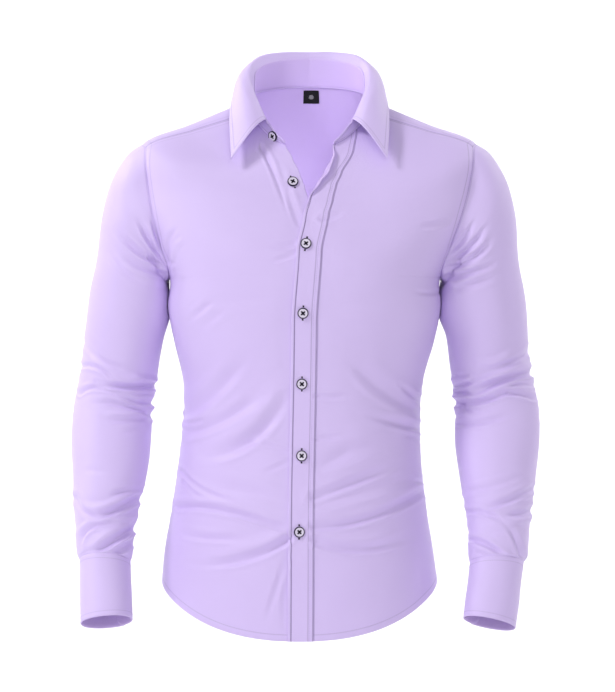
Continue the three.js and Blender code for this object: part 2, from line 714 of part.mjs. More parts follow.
function addCuff(name, table, cuff, side) {
  const grid = [];
  const drop = new THREE.Vector3(cuff.across, cuff.forward, cuff.down);
  for (let i = 0; i <= CUFF_STEPS; i += 1) {
    const share = mix(CUFF_CLEAR, 1, i / CUFF_STEPS);
    const frame = ringFrame(table, table.length - 1);
    frame.middle.addScaledVector(drop, share);
    frame.wide.multiplyScalar(mix(1, cuff.wide, share));
    frame.deep.multiplyScalar(mix(1, cuff.deep, share));
    const row = [];
    for (let j = 0; j <= CUFF_COLUMNS; j += 1) {
      const turn = j / CUFF_COLUMNS * (360 + CUFF_LAP_DEGREES);
      const angle = (CUFF_START_DEGREES - turn) * Math.PI / 180;
      const out = (CUFF_CLOTH + LAP_CLEAR) * ramp(CUFF_RISE_DEGREES[0], CUFF_RISE_DEGREES[1], turn);
      const power = 2 / frame.square;
      const point = ringPoint(frame, rounded(Math.cos(angle), power), rounded(Math.sin(angle), power));
      const away = point.clone().sub(frame.middle).normalize();
      row.push(point.addScaledVector(away, out));
    }
    grid.push(side < 0 ? row : row.reverse());
  }
  addWall(name, grid, cellsBetween(0, CUFF_STEPS, 0, CUFF_COLUMNS), LAVENDER, CUFF_CLOTH);
  return grid;
}

const rightCuff = addCuff('cuff_right', RIGHT_SLEEVE_ROWS, RIGHT_CUFF, -1);
const leftCuff = addCuff('cuff_left', LEFT_SLEEVE_ROWS, LEFT_CUFF, 1);

// The foot of the stand on the neck seam, a little above the panels
function standFoot(round, side, top) {
  const seam = bodyPoint(NECK_RING, side * (Math.PI - round * Math.PI / 180));
  return seam.addScaledVector(top.clone().sub(seam).normalize(), STAND_LIFT);
}

// Collar. Its half table is read on both sides of the middle.
function collarStation(place) {
  const side = Math.sign(place) || 1;
  const row = readTable(COLLAR_ROWS, COLLAR_COLUMNS, Math.abs(place));
  const vector = (name) => (
    new THREE.Vector3(COLLAR_CENTRE + side * row[`${name}X`], row[`${name}Y`], row[`${name}Z`])
  );
  const top = vector('top');
  return { base: standFoot(row.round, side, top), top, roll: vector('roll'), edge: vector('edge') };
}

const lastStation = COLLAR_ROWS.length - 1;
const halfCollar = lastStation * COLLAR_STEPS;

// Leaf: up inside the fold, over its crest and down to the rim. It starts a share of the way
// above the stand, is hollowed inside the fold, and bows out on its way to the rim.
const LEAF_SHARES = [0.2, 0.42, 0.64, 0.84, 1];
const LEAF_BOW = 8.5;
const FOLD_START = 0.01;
const FOLD_INSIDE = 0.55;
const FOLD_HOLLOW = 2.5;

function leafGrid() {
  const columns = [];
  for (let k = -halfCollar; k <= halfCollar; k += 1) {
    const { top, roll, edge } = collarStation(k / COLLAR_STEPS);
    const fall = edge.clone().sub(roll);
    const before = collarStation((k - 0.2) / COLLAR_STEPS).roll;
    const after = collarStation((k + 0.2) / COLLAR_STEPS).roll;
    const along = before.sub(after);
    const outward = fall.clone().cross(along).normalize();
    const inside = top.clone().lerp(roll, FOLD_INSIDE).addScaledVector(outward, -FOLD_HOLLOW);
    const column = [top.clone().lerp(roll, FOLD_START), inside, roll.clone()];
    LEAF_SHARES.forEach((share) => {
      column.push(roll.clone().addScaledVector(fall, share)
        .addScaledVector(outward, LEAF_BOW * Math.sin(Math.PI * share ** 0.7)));
    });
    columns.push(column);
  }
  const rows = columns[0].length;
  return Array.from({ length: rows }, (unused, i) => columns.map((column) => column[i]));
}

const leaf = leafGrid();
const leafCells = cellsBetween(0, leaf.length - 1, 0, leaf[0].length - 1);
addWall('collar_leaf', leaf, leafCells, LAVENDER, LEAF_CLOTH);

// Stand: from the neck seam up to the leaf, with a rounded end on each side
const STAND_SHARES = [0, 0.34, 0.67, 1];

function standEnd([round, x, y, z], side) {
  const top = new THREE.Vector3(COLLAR_CENTRE + side * x, y, z);
  return { base: standFoot(round, side, top), top };
}

function standGrid() {
  const stations = [];
  [...STAND_END_ROWS].reverse().forEach((row) => stations.push(standEnd(row, 1)));
  for (let k = halfCollar; k >= -halfCollar; k -= 1) {
    stations.push(collarStation(k / COLLAR_STEPS));
  }
  STAND_END_ROWS.forEach((row) => stations.push(standEnd(row, -1)));
  return STAND_SHARES.map((share) => stations.map(({ base, top }) => base.clone().lerp(top, share)));
}

const stand = standGrid();
const standCells = cellsBetween(0, stand.length - 1, 0, stand[0].length - 1);
addWall('collar_stand', stand, standCells, LAVENDER, STAND_CLOTH);

// Half section of a button, from its back round its raised rim to the sunk middle of its face.
// out: share of its radius. rise: share of its thickness.
const BUTTON_COLUMNS = ['out', 'rise'];
const BUTTON_SECTION = [
  [0, 0],
  [0.85, 0],
  [1, 0.35],
  [0.94, 1],
  [0.72, 0.9],
  [0.6, 0.55],
  [0, 0.55],
];
const OUT = BUTTON_COLUMNS.indexOf('out');
const RISE = BUTTON_COLUMNS.indexOf('rise');

function addButton(name, centre, facing, up, diameter) {
  const profile = BUTTON_SECTION.map((row) => (
    new THREE.Vector2(row[OUT] * diameter / 2, row[RISE] * BUTTON_THICK)
  ));
  const geometry = new THREE.LatheGeometry(profile, BUTTON_SIDES);
  const across = up.clone().cross(facing).normalize();
  const trueUp = facing.clone().cross(across).normalize();
  const mesh = new THREE.Mesh(geometry, material(BUTTON_PLASTIC));
  mesh.name = name;
  mesh.quaternion.setFromRotationMatrix(new THREE.Matrix4().makeBasis(across, facing, trueUp.negate()));
  mesh.position.copy(centre);
  shirt.add(mesh);
}

// The point and direction of a grid's outer face nearest to a place in the front view
function seatOn(grid, across, height) {
  let best = null;
  for (let i = 1; i < grid.length - 1; i += 1) {
    for (let j = 1; j < grid[0].length - 1; j += 1) {
      const a = grid[i][j];
      const sideways = grid[i][j + 1].clone().sub(grid[i][j - 1]);
      const upward = grid[i + 1][j].clone().sub(grid[i - 1][j]);
      const normal = sideways.clone().cross(upward).normalize();
      const away = Math.hypot(a.x - across, a.z - height);
      if (!best || away < best.away) best = { away, a, normal, upward };
    }
  }
  const offset = (across - best.a.x) * best.normal.x + (height - best.a.z) * best.normal.z;
  const seat = new THREE.Vector3(across, best.a.y - offset / best.normal.y, height);
  return { seat, normal: best.normal, up: best.upward };
}

BUTTONS.forEach(({ name, across, height, lies }) => {
  const { seat, normal, up } = seatOn(lies === 'band' ? leftFront : rightFront, across, height);
  const lift = lies === 'band' ? BAND_CLOTH + 2 * SEAM_GAP : SEAM_GAP;
  addButton(name, seat.addScaledVector(normal, lift + SEAT_SLACK), normal, up, BUTTON_DIAMETER);
});

// Collar button, on the outer face of the stand's end, a share of the way to its next column
const STAND_BUTTON_SHARE = 0.4;
const standMiddle = stand[1].map((point, j) => point.clone().lerp(stand[2][j], 0.5));
const standButtonColumn = stand[0].length - 1 - STAND_END_ROWS.length;
const standAt = standMiddle[standButtonColumn].clone()
  .lerp(standMiddle[standButtonColumn + 1], STAND_BUTTON_SHARE);
const standAlong = standMiddle[standButtonColumn + 1].clone().sub(standMiddle[standButtonColumn - 1]);
const standUp = stand[3][standButtonColumn].clone().sub(stand[0][standButtonColumn]);
const standFacing = standAlong.clone().cross(standUp).normalize();
standAt.addScaledVector(standFacing, SEAM_GAP + SEAT_SLACK);
addButton('button_stand', standAt, standFacing, standUp, BUTTON_DIAMETER);

// Cuff buttons, on the lapped end, so many columns from its edge
const CUFF_BUTTON_COLUMNS = 2;

function addCuffButton(name, grid, side) {
  const columns = grid[0].length;
  const j = side < 0 ? columns - 1 - CUFF_BUTTON_COLUMNS : CUFF_BUTTON_COLUMNS;
  const middle = Math.floor(grid.length / 2);
  const sideways = grid[middle][j + 1].clone().sub(grid[middle][j - 1]);
  const upward = grid[middle + 1][j].clone().sub(grid[middle - 1][j]);
  const facing = sideways.cross(upward).normalize();
  const seat = grid[middle][j].clone().addScaledVector(facing, SEAM_GAP + SEAT_SLACK);
  addButton(name, seat, facing, upward, CUFF_BUTTON_DIAMETER);
}

addCuffButton('cuff_button_right', rightCuff, -1);
addCuffButton('cuff_button_left', leftCuff, 1);

// Label inside the back neck, from the yoke's own surface, on its inner side. The yoke's last two
// rings are so far apart in height there.
const LABEL_RING_RISE = 28;
const labelRing = readTable(BODY_ROWS, BODY_COLUMNS, NECK_RING);
const labelGrid = [0, 1, 2].map((i) => [0, 1, 2, 3].map((j) => {
  const height = LABEL_TOP - LABEL_HEIGHT * (1 - i / 2);
  const place = NECK_RING - (labelRing.back - height) / LABEL_RING_RISE;
  const across = LABEL_CENTRE + LABEL_WIDTH * (0.5 - j / 3);
  const row = readTable(BODY_ROWS, BODY_COLUMNS, place);
  return bodyPoint(place, Math.PI - Math.asin((across - row.middle) / row.half));
}));
const labelCells = cellsBetween(0, 2, 0, 3);
addWall('neck_label', labelGrid, labelCells, LABEL_CLOTH_BLACK, LABEL_CLOTH, -CLOTH - LABEL_GAP);

export default shirt;
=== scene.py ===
import math

import bpy
import numpy as np
from mathutils import Matrix, Vector


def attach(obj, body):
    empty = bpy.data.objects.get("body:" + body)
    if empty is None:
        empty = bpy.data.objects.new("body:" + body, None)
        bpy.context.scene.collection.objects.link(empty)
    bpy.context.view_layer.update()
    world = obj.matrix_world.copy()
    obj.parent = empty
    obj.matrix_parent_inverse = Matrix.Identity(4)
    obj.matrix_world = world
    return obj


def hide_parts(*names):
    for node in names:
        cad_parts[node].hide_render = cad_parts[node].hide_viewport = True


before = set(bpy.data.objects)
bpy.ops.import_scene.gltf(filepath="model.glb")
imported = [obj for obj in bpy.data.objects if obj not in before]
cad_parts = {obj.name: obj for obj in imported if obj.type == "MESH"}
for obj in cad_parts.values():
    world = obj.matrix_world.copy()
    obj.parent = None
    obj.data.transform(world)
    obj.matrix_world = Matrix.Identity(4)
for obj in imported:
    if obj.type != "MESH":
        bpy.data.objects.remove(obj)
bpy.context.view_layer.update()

METRES = 0.001

# Thickness of the cloth, and of the folded and lined pieces
CLOTH = 0.7
BAND_CLOTH = 1.0
CUFF_CLOTH = 1.5
LEAF_CLOTH = 1.3
STAND_CLOTH = 1.4
LAP_SINK = 1.2

# The camera that the creases are drawn from: where it stands, its picture's middle and scale
EYE_ACROSS = -1.45
EYE_AWAY = 4000.0
EYE_HEIGHT = -334.0
PICTURE_MIDDLE_X = 307.5
PICTURE_MIDDLE_Y = 346.0
MM_A_PIXEL = 1.32
PICTURE_HEIGHT = 692

# Rings of the body from the hem up: height at the front, side and back, how fast it climbs
# between them, middle and half width, depth ahead and behind, squareness, armhole distance
BODY_COLUMNS = ("front", "side", "back", "bend", "middle", "half", "chest", "spine", "square", "arm")
BODY_ROWS = np.array([
    (-713, -642, -724, 1.4, -12.0, 181.5, 113, 118, 2.3, 200),
    (-640, -602, -646, 1.6, -12.8, 177.0, 112, 117, 2.3, 200),
    (-572, -552, -574, 2.0, -12.4, 168.5, 110, 110, 2.3, 200),
    (-500, -493, -502, 2.0, -11.6, 160.8, 107.5, 99, 2.3, 200),
    (-440, -438, -442, 2.0, -9.4, 156.4, 105, 91, 2.3, 200),
    (-385, -385, -385, 2.0, -7.2, 157.2, 106, 92, 2.3, 200),
    (-330, -330, -330, 2.0, -6.2, 170.5, 112, 102, 2.5, 200),
    (-282, -282, -282, 2.0, -5.5, 179.8, 118.5, 110, 2.7, 200),
    (-246, -246, -246, 2.0, -5.0, 178.0, 121.5, 114, 2.9, 178),
    (-212, -203, -208, 2.0, -3.6, 198.0, 119.5, 116, 2.75, 189),
    (-182, -160, -168, 2.0, -1.8, 220.0, 110, 114, 2.7, 201),
    (-154, -118, -121, 2.0, 0.0, 226.0, 99, 108, 2.7, 210),
    (-126, -68, -80, 1.8, 1.2, 219.5, 84, 97, 3.0, 214),
    (-108, -42, -48, 1.5, 1.2, 158.0, 75, 88, 2.4, 200),
    (-92, -21, -16, 1.2, 1.0, 108.0, 68, 77, 2.1, 200),
    (-78, -7, 12, 1.0, 1.0, 78.5, 61, 66, 2.0, 200),
], float)
PIT_RING = 8
YOKE_RING = 11
SHOULDER_RING = 12
NECK_RING = 15
RING_STEPS = (34, 28, 28, 26, 23, 23, 21, 16, 22, 16, 18, 20, 20, 12, 10)

# Front edges from the hem up: height, edge of the right front, fold of the left one, width turned
EDGE_ROWS = np.array([
    (-760, 10.0, -26.8, 0),
    (-572, 9.0, -26.2, 0),
    (-300, 12.0, -22.0, 0),
    (-211, 13.0, -15.8, 0),
    (-168, 7.0, -6.2, 1),
    (-144, -0.4, 3.0, 4),
    (-127, -5.6, 13.0, 10),
    (-110, -12.0, 23.5, 13),
    (-91, -21.3, 34.0, 8),
    (-78, -30.5, 33.5, 3),
], float)
BAND_WIDTH = 32.4
TURN_RADIUS = 2.6
TURN_ANGLE = 2.6

# Rings of the sleeves: outer side across and up, inner side across and up, forward, half depth,
# squareness
RIGHT_SLEEVE = np.array([
    (-218.6, -72.6, -182.9, -242.9, 0, 62, 2.2),
    (-239.5, -87.0, -186.2, -248.5, 0, 64, 2.2),
    (-260.0, -118.0, -184.0, -257.0, 1, 65, 2.2),
    (-272.3, -161.0, -182.0, -269.0, 1, 64, 2.2),
    (-278.2, -213.9, -182.0, -283.0, 1, 62, 2.2),
    (-287.2, -260.0, -184.0, -299.0, 3, 60, 2.1),
    (-293.9, -302.3, -190.2, -320.0, 6, 57, 2.1),
    (-299.2, -345.9, -196.5, -350.0, 9, 54, 2.1),
    (-304.7, -385.6, -202.6, -383.0, 10, 52, 2.1),
    (-310.9, -421.3, -206.6, -416.0, 6, 51, 2.1),
    (-312.4, -464.5, -207.6, -458.0, -6, 50, 2.1),
    (-309.6, -503.4, -212.6, -499.5, -20, 47, 2.1),
    (-307.6, -542.0, -221.2, -539.4, -35, 44, 2.1),
    (-303.4, -574.0, -226.4, -572.0, -47, 41, 2.1),
    (-302.2, -600.0, -228.4, -602.0, -57, 39, 2.1),
    (-297.8, -612.0, -231.6, -614.0, -61.5, 36, 2.1),
], float)
LEFT_SLEEVE = np.array([
    (221.0, -72.6, 172.1, -247.0, 0, 62, 2.2),
    (241.5, -87.0, 175.8, -252.0, 0, 64, 2.2),
    (261.2, -118.0, 173.0, -261.0, 1, 65, 2.2),
    (272.8, -161.0, 171.0, -273.3, 1, 64, 2.2),
    (276.0, -213.9, 170.8, -286.0, 1, 62, 2.2),
    (284.2, -260.0, 173.2, -300.0, 3, 60, 2.1),
    (289.3, -302.3, 180.6, -320.8, 6, 57, 2.1),
    (291.6, -345.9, 185.2, -348.5, 9, 54, 2.1),
    (298.8, -385.6, 190.2, -381.6, 10, 52, 2.1),
    (304.4, -421.3, 193.8, -417.3, 6, 51, 2.1),
    (303.0, -464.5, 193.4, -459.2, -6, 50, 2.1),
    (298.8, -503.4, 197.8, -502.1, -20, 47, 2.1),
    (293.0, -542.0, 203.4, -539.4, -35, 44, 2.1),
    (288.4, -574.0, 207.6, -572.0, -47, 41, 2.1),
    (284.8, -603.0, 207.6, -603.0, -58, 39, 2.1),
    (279.4, -616.0, 209.4, -615.0, -62.5, 36, 2.1),
], float)
SLEEVE_RING_STEPS = 16
SLEEVE_ROUND = 140
ARMHOLE_BLEND_RINGS = 2.5
BODY_CLEAR = 0.15

# Cuffs: where the lower edge lies from the end of the sleeve, and its width and depth as shares
RIGHT_CUFF = {"across": 4.0, "forward": -28.0, "down": -78.0, "wide": 1.03, "deep": 0.98,
              "lift": 1.6, "tilt": -4.1, "nod": -1.6}
LEFT_CUFF = {"across": -11.0, "forward": -28.0, "down": -78.0, "wide": 0.97, "deep": 0.98,
             "lift": 2.4, "tilt": -6.6, "nod": -2.4}
CUFF_START_DEGREES = 250
CUFF_LAP_DEGREES = 34
CUFF_RISE_DEGREES = (250, 350)
CUFF_HEIGHT = 78.0
CUFF_CORNER = 13.0
CUFF_LAP_CLEAR = 0.4

# Half of the collar from the middle of the back to the tip: place on the neck ring in degrees
# from the back, then top of the stand, crest of the fold and rim of the leaf
COLLAR_CENTRE = 1.0
COLLAR_ROWS = np.array([
    (0, 0, 60.5, 50.5, 0, 66.0, 60.5, 0, 98.0, 8.0),
    (24, 30, 55.5, 49.0, 34, 61.5, 60.0, 46, 94.0, 4.0),
    (45.5, 56, 41.5, 43.0, 63.0, 47.0, 54.5, 82, 70.0, -4.0),
    (65, 70.5, 24.0, 31.5, 77.0, 27.5, 42.0, 99, 40.0, -9.0),
    (86, 73, 3.0, 12.5, 80.0, 3.5, 26.0, 103.5, 8.0, -13.5),
    (104, 71, -17.5, -6.0, 75.5, -20.0, 7.5, 104.5, -25.0, -25.0),
    (120, 62.5, -34.5, -27.0, 66.5, -40.0, -15.5, 104, -56.0, -49.0),
    (133.5, 53.0, -47.5, -44.0, 57.0, -55.5, -38.5, 101, -84.0, -91.0),
], float)
COLLAR_FINE = 14
STAND_LIFT = 0.6
STAND_END_ROWS = ((147, 42.5, -56.0, -58.5), (156, 32.0, -61.0, -69.5))
LEAF_SHARES = (0.2, 0.42, 0.64, 0.84, 1.0)
LEAF_BOW = 8.5

# Front buttons: across and height of the middle, and the piece below
BUTTONS = (
    ("button_open", -20.5, -122.0, "under"),
    ("button_1", -3.4, -203.2, "band"),
    ("button_2", -7.2, -291.7, "band"),
    ("button_3", -8.6, -382.8, "band"),
    ("button_4", -9.0, -475.2, "band"),
    ("button_5", -12.4, -572.6, "band"),
)
BUTTON_DIAMETER = 14.0
CUFF_BUTTON_DIAMETER = 12.0
BUTTON_HOLE = 2.1
BUTTON_DEPTH = 2.2
BUTTON_HOLE_RADIUS = 0.75
BUTTON_RIM_WIDTH = 1.2
BUTTON_SEAT = 0.3
# Steps of a button's face from its edge in: width and how much it rises
BUTTON_STEPS = ((1.25, 0.0), (0.9, 0.05), (0.8, -0.2), (1.2, -0.12))

# Creases. Each runs along a curve through three points of the picture, the middle one pulling.
# width: half width in mm. depth: how far it sinks, less than zero is a ridge. skew: steeper on
# one side. start, end: how much of the depth is there at each end.
FOLD_GAIN = 1.75
FOLD_COLUMNS = ("x0", "y0", "x1", "y1", "x2", "y2", "width", "depth", "skew", "start", "end")
FRONT_FOLDS = (
    (184, 415, 216, 400, 248, 357, 9, 2.3, 0.25, 0.9, 0.1),
    (190, 433, 228, 424, 264, 394, 7, 2.0, 0.2, 0.8, 0.1),
    (186, 423, 196, 424, 206, 418, 3, 1.3, 0.0, 1.0, 0.1),
    (206, 457, 258, 453, 284, 402, 8, 2.5, 0.3, 0.1, 0.2),
    (214, 440, 252, 426, 283, 384, 12, -1.5, 0.0, 0.2, 0.3),
    (238, 444, 262, 440, 287, 452, 3.5, 0.8, 0.0, 0.2, 0.9),
    (262, 472, 276, 470, 288, 462, 3.5, 0.8, 0.2, 0.1, 0.6),
    (181, 472, 202, 498, 240, 501, 3.2, 1.4, 0.2, 1.0, 0.0),
    (183, 482, 190, 492, 204, 500, 2.6, 0.9, 0.2, 1.0, 0.0),
    (210, 486, 246, 490, 286, 503, 8, 1.3, 0.2, 0.1, 0.3),
    (178, 508, 214, 504, 290, 532, 4.6, 2.6, 0.35, 0.8, 0.5),
    (184, 535, 212, 542, 242, 538, 4.6, 1.8, 0.3, 0.3, 0.0),
    (192, 565, 252, 569, 290, 539, 5.5, 2.3, 0.35, 0.1, 0.8),
    (216, 551, 256, 547, 287, 532, 7, -1.4, 0.0, 0.1, 0.9),
    (266, 622, 274, 596, 288, 556, 4, 1.0, 0.1, 0.1, 0.4),
    (284, 628, 283, 600, 288, 566, 3, 0.8, 0.0, 0.5, 0.1),
    (190, 321, 201, 311, 214, 300, 4, 1.2, 0.2, 0.2, 0.1),
    (202, 328, 214, 318, 226, 309, 5, 0.7, 0.1, 0.2, 0.1),
    (196, 306, 238, 303, 280, 297, 9, 0.35, 0.2, 0.1, 0.1),
    (266, 246, 281, 248, 294, 244, 3.5, 0.9, 0.2, 0.1, 1.0),
    (270, 262, 283, 260, 294, 254, 3.5, 0.7, 0.2, 0.1, 1.0),
    (168, 262, 165, 238, 180, 226, 3.5, 1.1, 0.2, 0.8, 0.0),
    (172, 258, 174, 244, 186, 238, 4, -0.8, 0.0, 0.8, 0.0),
    (261, 148, 278, 178, 287, 212, 3.4, 1.5, 0.3, 0.9, 0.1),
    (276, 160, 286, 190, 298, 222, 4.5, 0.9, 0.2, 0.1, 0.5),
    (418, 226, 430, 229, 447, 222, 4, 1.0, 0.2, 0.1, 0.7),
    (322, 220, 333, 219, 345, 211, 4, 0.8, 0.2, 1.0, 0.1),
    (326, 301, 360, 307, 398, 306, 9, 0.3, 0.2, 0.1, 0.1),
    (414, 291, 426, 295, 440, 293, 3, 1.0, 0.2, 0.1, 0.8),
    (316, 397, 330, 399, 350, 397, 3.6, 0.9, 0.2, 1.0, 0.1),
    (316, 440, 330, 439, 344, 437, 3.6, 0.8, 0.2, 1.0, 0.1),
    (350, 358, 372, 392, 421, 411, 10, 1.6, 0.3, 0.1, 1.0),
    (340, 430, 372, 440, 392, 428, 13, -1.1, 0.0, 0.1, 0.2),
    (370, 418, 396, 424, 422, 430, 5, 1.9, 0.3, 0.1, 1.0),
    (400, 385, 412, 396, 422, 402, 3.6, 1.6, 0.2, 0.2, 1.0),
    (404, 436, 413, 436, 422, 441, 3.4, 1.0, 0.2, 0.2, 1.0),
    (314, 499, 350, 485, 402, 465, 5.5, 2.2, 0.3, 0.7, 0.1),
    (318, 478, 350, 468, 386, 449, 9, -1.0, 0.0, 0.5, 0.1),
    (314, 529, 370, 527, 425, 492, 5.2, 2.6, 0.35, 0.6, 0.9),
    (316, 514, 362, 503, 414, 486, 7, -1.2, 0.0, 0.6, 0.7),
    (316, 543, 366, 560, 412, 536, 6, 2.1, 0.3, 0.8, 0.1),
    (412, 480, 419, 484, 426, 480, 3.4, 1.4, 0.2, 0.1, 1.0),
    (322, 466, 340, 458, 356, 444, 8, 0.9, 0.2, 0.4, 0.1),
    (420, 560, 424, 585, 420, 606, 7, 0.7, 0.1, 0.2, 0.3),
)
BACK_FOLDS = (
    (183, 404, 226, 412, 268, 384, 9, 3.0, 0.25, 0.9, 0.0),
    (184, 424, 240, 440, 300, 418, 8, 2.6, 0.25, 0.9, 0.1),
    (180, 462, 222, 470, 282, 452, 8, 2.4, 0.3, 0.8, 0.0),
    (176, 500, 226, 516, 270, 503, 7, 2.4, 0.3, 0.8, 0.0),
    (172, 530, 206, 548, 262, 545, 7, 1.8, 0.3, 0.5, 0.0),
    (424, 398, 384, 412, 338, 396, 9, 2.8, -0.25, 0.9, 0.0),
    (423, 430, 372, 446, 316, 436, 8, 2.8, -0.25, 0.9, 0.1),
    (424, 470, 388, 482, 330, 470, 8, 2.2, -0.3, 0.8, 0.0),
    (427, 504, 376, 522, 340, 510, 7, 2.4, -0.3, 0.8, 0.0),
    (430, 540, 392, 556, 352, 548, 7, 1.6, -0.3, 0.5, 0.0),
    (262, 356, 300, 372, 346, 360, 12, 1.8, 0.2, 0.1, 0.1),
    (168, 256, 186, 250, 204, 232, 6, 1.8, 0.2, 1.0, 0.0),
    (166, 268, 194, 268, 222, 256, 7, 1.4, 0.2, 1.0, 0.0),
    (442, 256, 424, 248, 410, 230, 6, 1.8, -0.2, 1.0, 0.0),
    (443, 268, 416, 268, 388, 257, 7, 1.4, -0.2, 1.0, 0.0),
    (228, 150, 240, 200, 236, 246, 12, 1.0, 0.1, 0.5, 0.0),
    (384, 150, 374, 200, 378, 246, 12, 1.0, 0.1, 0.5, 0.0),
)
SLEEVE_FOLDS = (
    (138, 219, 148, 244, 169, 266, 4, 2.3, 0.25, 0.1, 1.0),
    (152, 213, 154, 240, 169, 261, 3.4, 2.0, 0.25, 0.1, 1.0),
    (116, 230, 136, 256, 169, 268, 4.2, 2.2, 0.25, 0.1, 1.0),
    (118, 250, 138, 270, 166, 274, 4, 1.5, 0.2, 0.1, 0.9),
    (109, 250, 118, 274, 142, 282, 4, 1.2, 0.2, 0.1, 0.2),
    (120, 262, 140, 279, 166, 282, 5, -0.9, 0.0, 0.1, 0.6),
    (80, 367, 95, 361, 116, 384, 3, 1.8, 0.2, 1.0, 0.1),
    (84, 343, 98, 367, 130, 369, 4, 1.4, 0.2, 0.6, 0.1),
    (104, 371, 126, 382, 144, 377, 5, -1.6, 0.0, 0.2, 0.4),
    (97, 384, 122, 390, 156, 387, 3.6, 3.4, 0.3, 0.3, 1.0),
    (132, 376, 144, 380, 158, 379, 3.4, -1.6, 0.0, 0.1, 1.0),
    (134, 398, 144, 397, 156, 396, 3.0, -1.3, 0.0, 0.1, 1.0),
    (80, 394, 95, 381, 120, 397, 3, 1.8, 0.2, 0.8, 0.1),
    (117, 394, 138, 406, 155, 404, 2.8, 2.3, 0.2, 0.1, 1.0),
    (94, 404, 118, 400, 153, 416, 3.6, 2.1, 0.3, 0.1, 1.0),
    (103, 413, 124, 414, 148, 413, 4, -0.9, 0.0, 0.1, 0.6),
    (102, 419, 125, 423, 151, 418, 4, 1.5, 0.3, 0.1, 0.8),
    (118, 434, 134, 432, 150, 426, 4, 0.8, 0.2, 0.1, 0.6),
    (84, 471, 94, 470, 106, 473, 4, 0.6, 0.2, 0.1, 0.1),
    (106, 495, 124, 493, 143, 489, 3.6, 1.6, 0.2, 0.1, 0.8),
    (92, 519, 118, 512, 144, 496, 5, 2.8, 0.35, 0.2, 1.0),
    (82, 506, 108, 512, 132, 492, 5, -1.5, 0.0, 0.3, 0.5),
    (75, 498, 82, 517, 101, 518, 4, 1.7, 0.2, 1.0, 0.2),
    (99, 519, 120, 523, 141, 513, 4, -1.3, 0.0, 0.2, 0.8),
    (80, 549, 79, 523, 114, 524, 3.6, 2.2, 0.2, 0.3, 0.2),
    (88, 557, 116, 541, 140, 525, 4.6, 3.0, 0.3, 0.2, 1.0),
    (92, 545, 106, 532, 120, 526, 6, -1.4, 0.0, 0.2, 0.3),
    (110, 560, 119, 552, 137, 541, 4, 2.3, 0.3, 0.5, 0.9),
    (448, 252, 462, 244, 475, 219, 3.4, 1.8, -0.2, 1.0, 0.1),
    (446, 259, 470, 253, 487, 224, 3.6, 2.1, -0.2, 1.0, 0.1),
    (446, 267, 474, 264, 494, 236, 4, 2.1, -0.2, 1.0, 0.1),
    (448, 275, 478, 274, 498, 260, 4, 1.8, -0.2, 1.0, 0.1),
    (458, 288, 480, 283, 500, 272, 4.5, 1.1, -0.2, 0.5, 0.1),
    (452, 283, 470, 282, 486, 268, 4, -1.0, 0.0, 0.9, 0.1),
    (500, 366, 518, 366, 531, 349, 4, 1.8, 0.2, 0.1, 1.0),
    (478, 363, 498, 367, 518, 346, 5, -1.3, 0.0, 0.2, 0.3),
    (476, 393, 502, 379, 534, 373, 4.6, 3.2, 0.3, 0.2, 1.0),
    (454, 387, 464, 386, 476, 382, 2.8, 2.2, 0.2, 1.0, 0.1),
    (453, 379, 463, 380, 474, 377, 3.2, -1.4, 0.0, 1.0, 0.1),
    (453, 396, 462, 396, 472, 398, 3.0, -1.2, 0.0, 1.0, 0.1),
    (454, 413, 463, 413, 474, 415, 3.0, -1.2, 0.0, 1.0, 0.1),
    (460, 386, 484, 383, 522, 364, 5, -1.6, 0.0, 0.5, 0.6),
    (456, 404, 484, 405, 506, 393, 3.6, 2.8, 0.3, 1.0, 0.4),
    (498, 394, 515, 391, 533, 399, 3.4, 2.0, 0.2, 0.5, 0.8),
    (506, 387, 520, 382, 534, 386, 3, 1.3, 0.2, 0.1, 0.9),
    (458, 394, 465, 393, 473, 395, 3, 1.6, 0.2, 1.0, 0.1),
    (460, 405, 466, 411, 474, 415, 2.8, 1.4, 0.2, 1.0, 0.1),
    (461, 407, 472, 410, 484, 412, 2.8, 1.0, 0.2, 1.0, 0.1),
    (457, 425, 482, 425, 514, 414, 3.6, 1.8, 0.3, 0.9, 0.1),
    (466, 492, 490, 489, 518, 478, 4, 1.2, 0.2, 0.3, 0.3),
    (478, 509, 505, 506, 533, 490, 4.2, 2.2, 0.3, 0.2, 0.9),
    (467, 513, 486, 509, 505, 524, 3, 1.7, 0.2, 0.8, 0.1),
    (484, 535, 496, 530, 508, 534, 4, 1.0, 0.2, 0.1, 0.1),
    (504, 514, 520, 517, 534, 509, 4, 2.0, 0.2, 0.2, 0.9),
    (508, 522, 522, 522, 535, 516, 4, -1.3, 0.0, 0.3, 0.9),
    (465, 540, 484, 538, 508, 560, 3.4, 2.0, 0.2, 0.8, 0.4),
    (470, 546, 486, 549, 500, 560, 4, -0.9, 0.0, 0.5, 0.2),
    (506, 526, 518, 540, 522, 563, 4, 1.9, 0.2, 0.2, 0.9),
    (502, 557, 512, 559, 524, 566, 3, 1.4, 0.2, 0.4, 0.9),
)
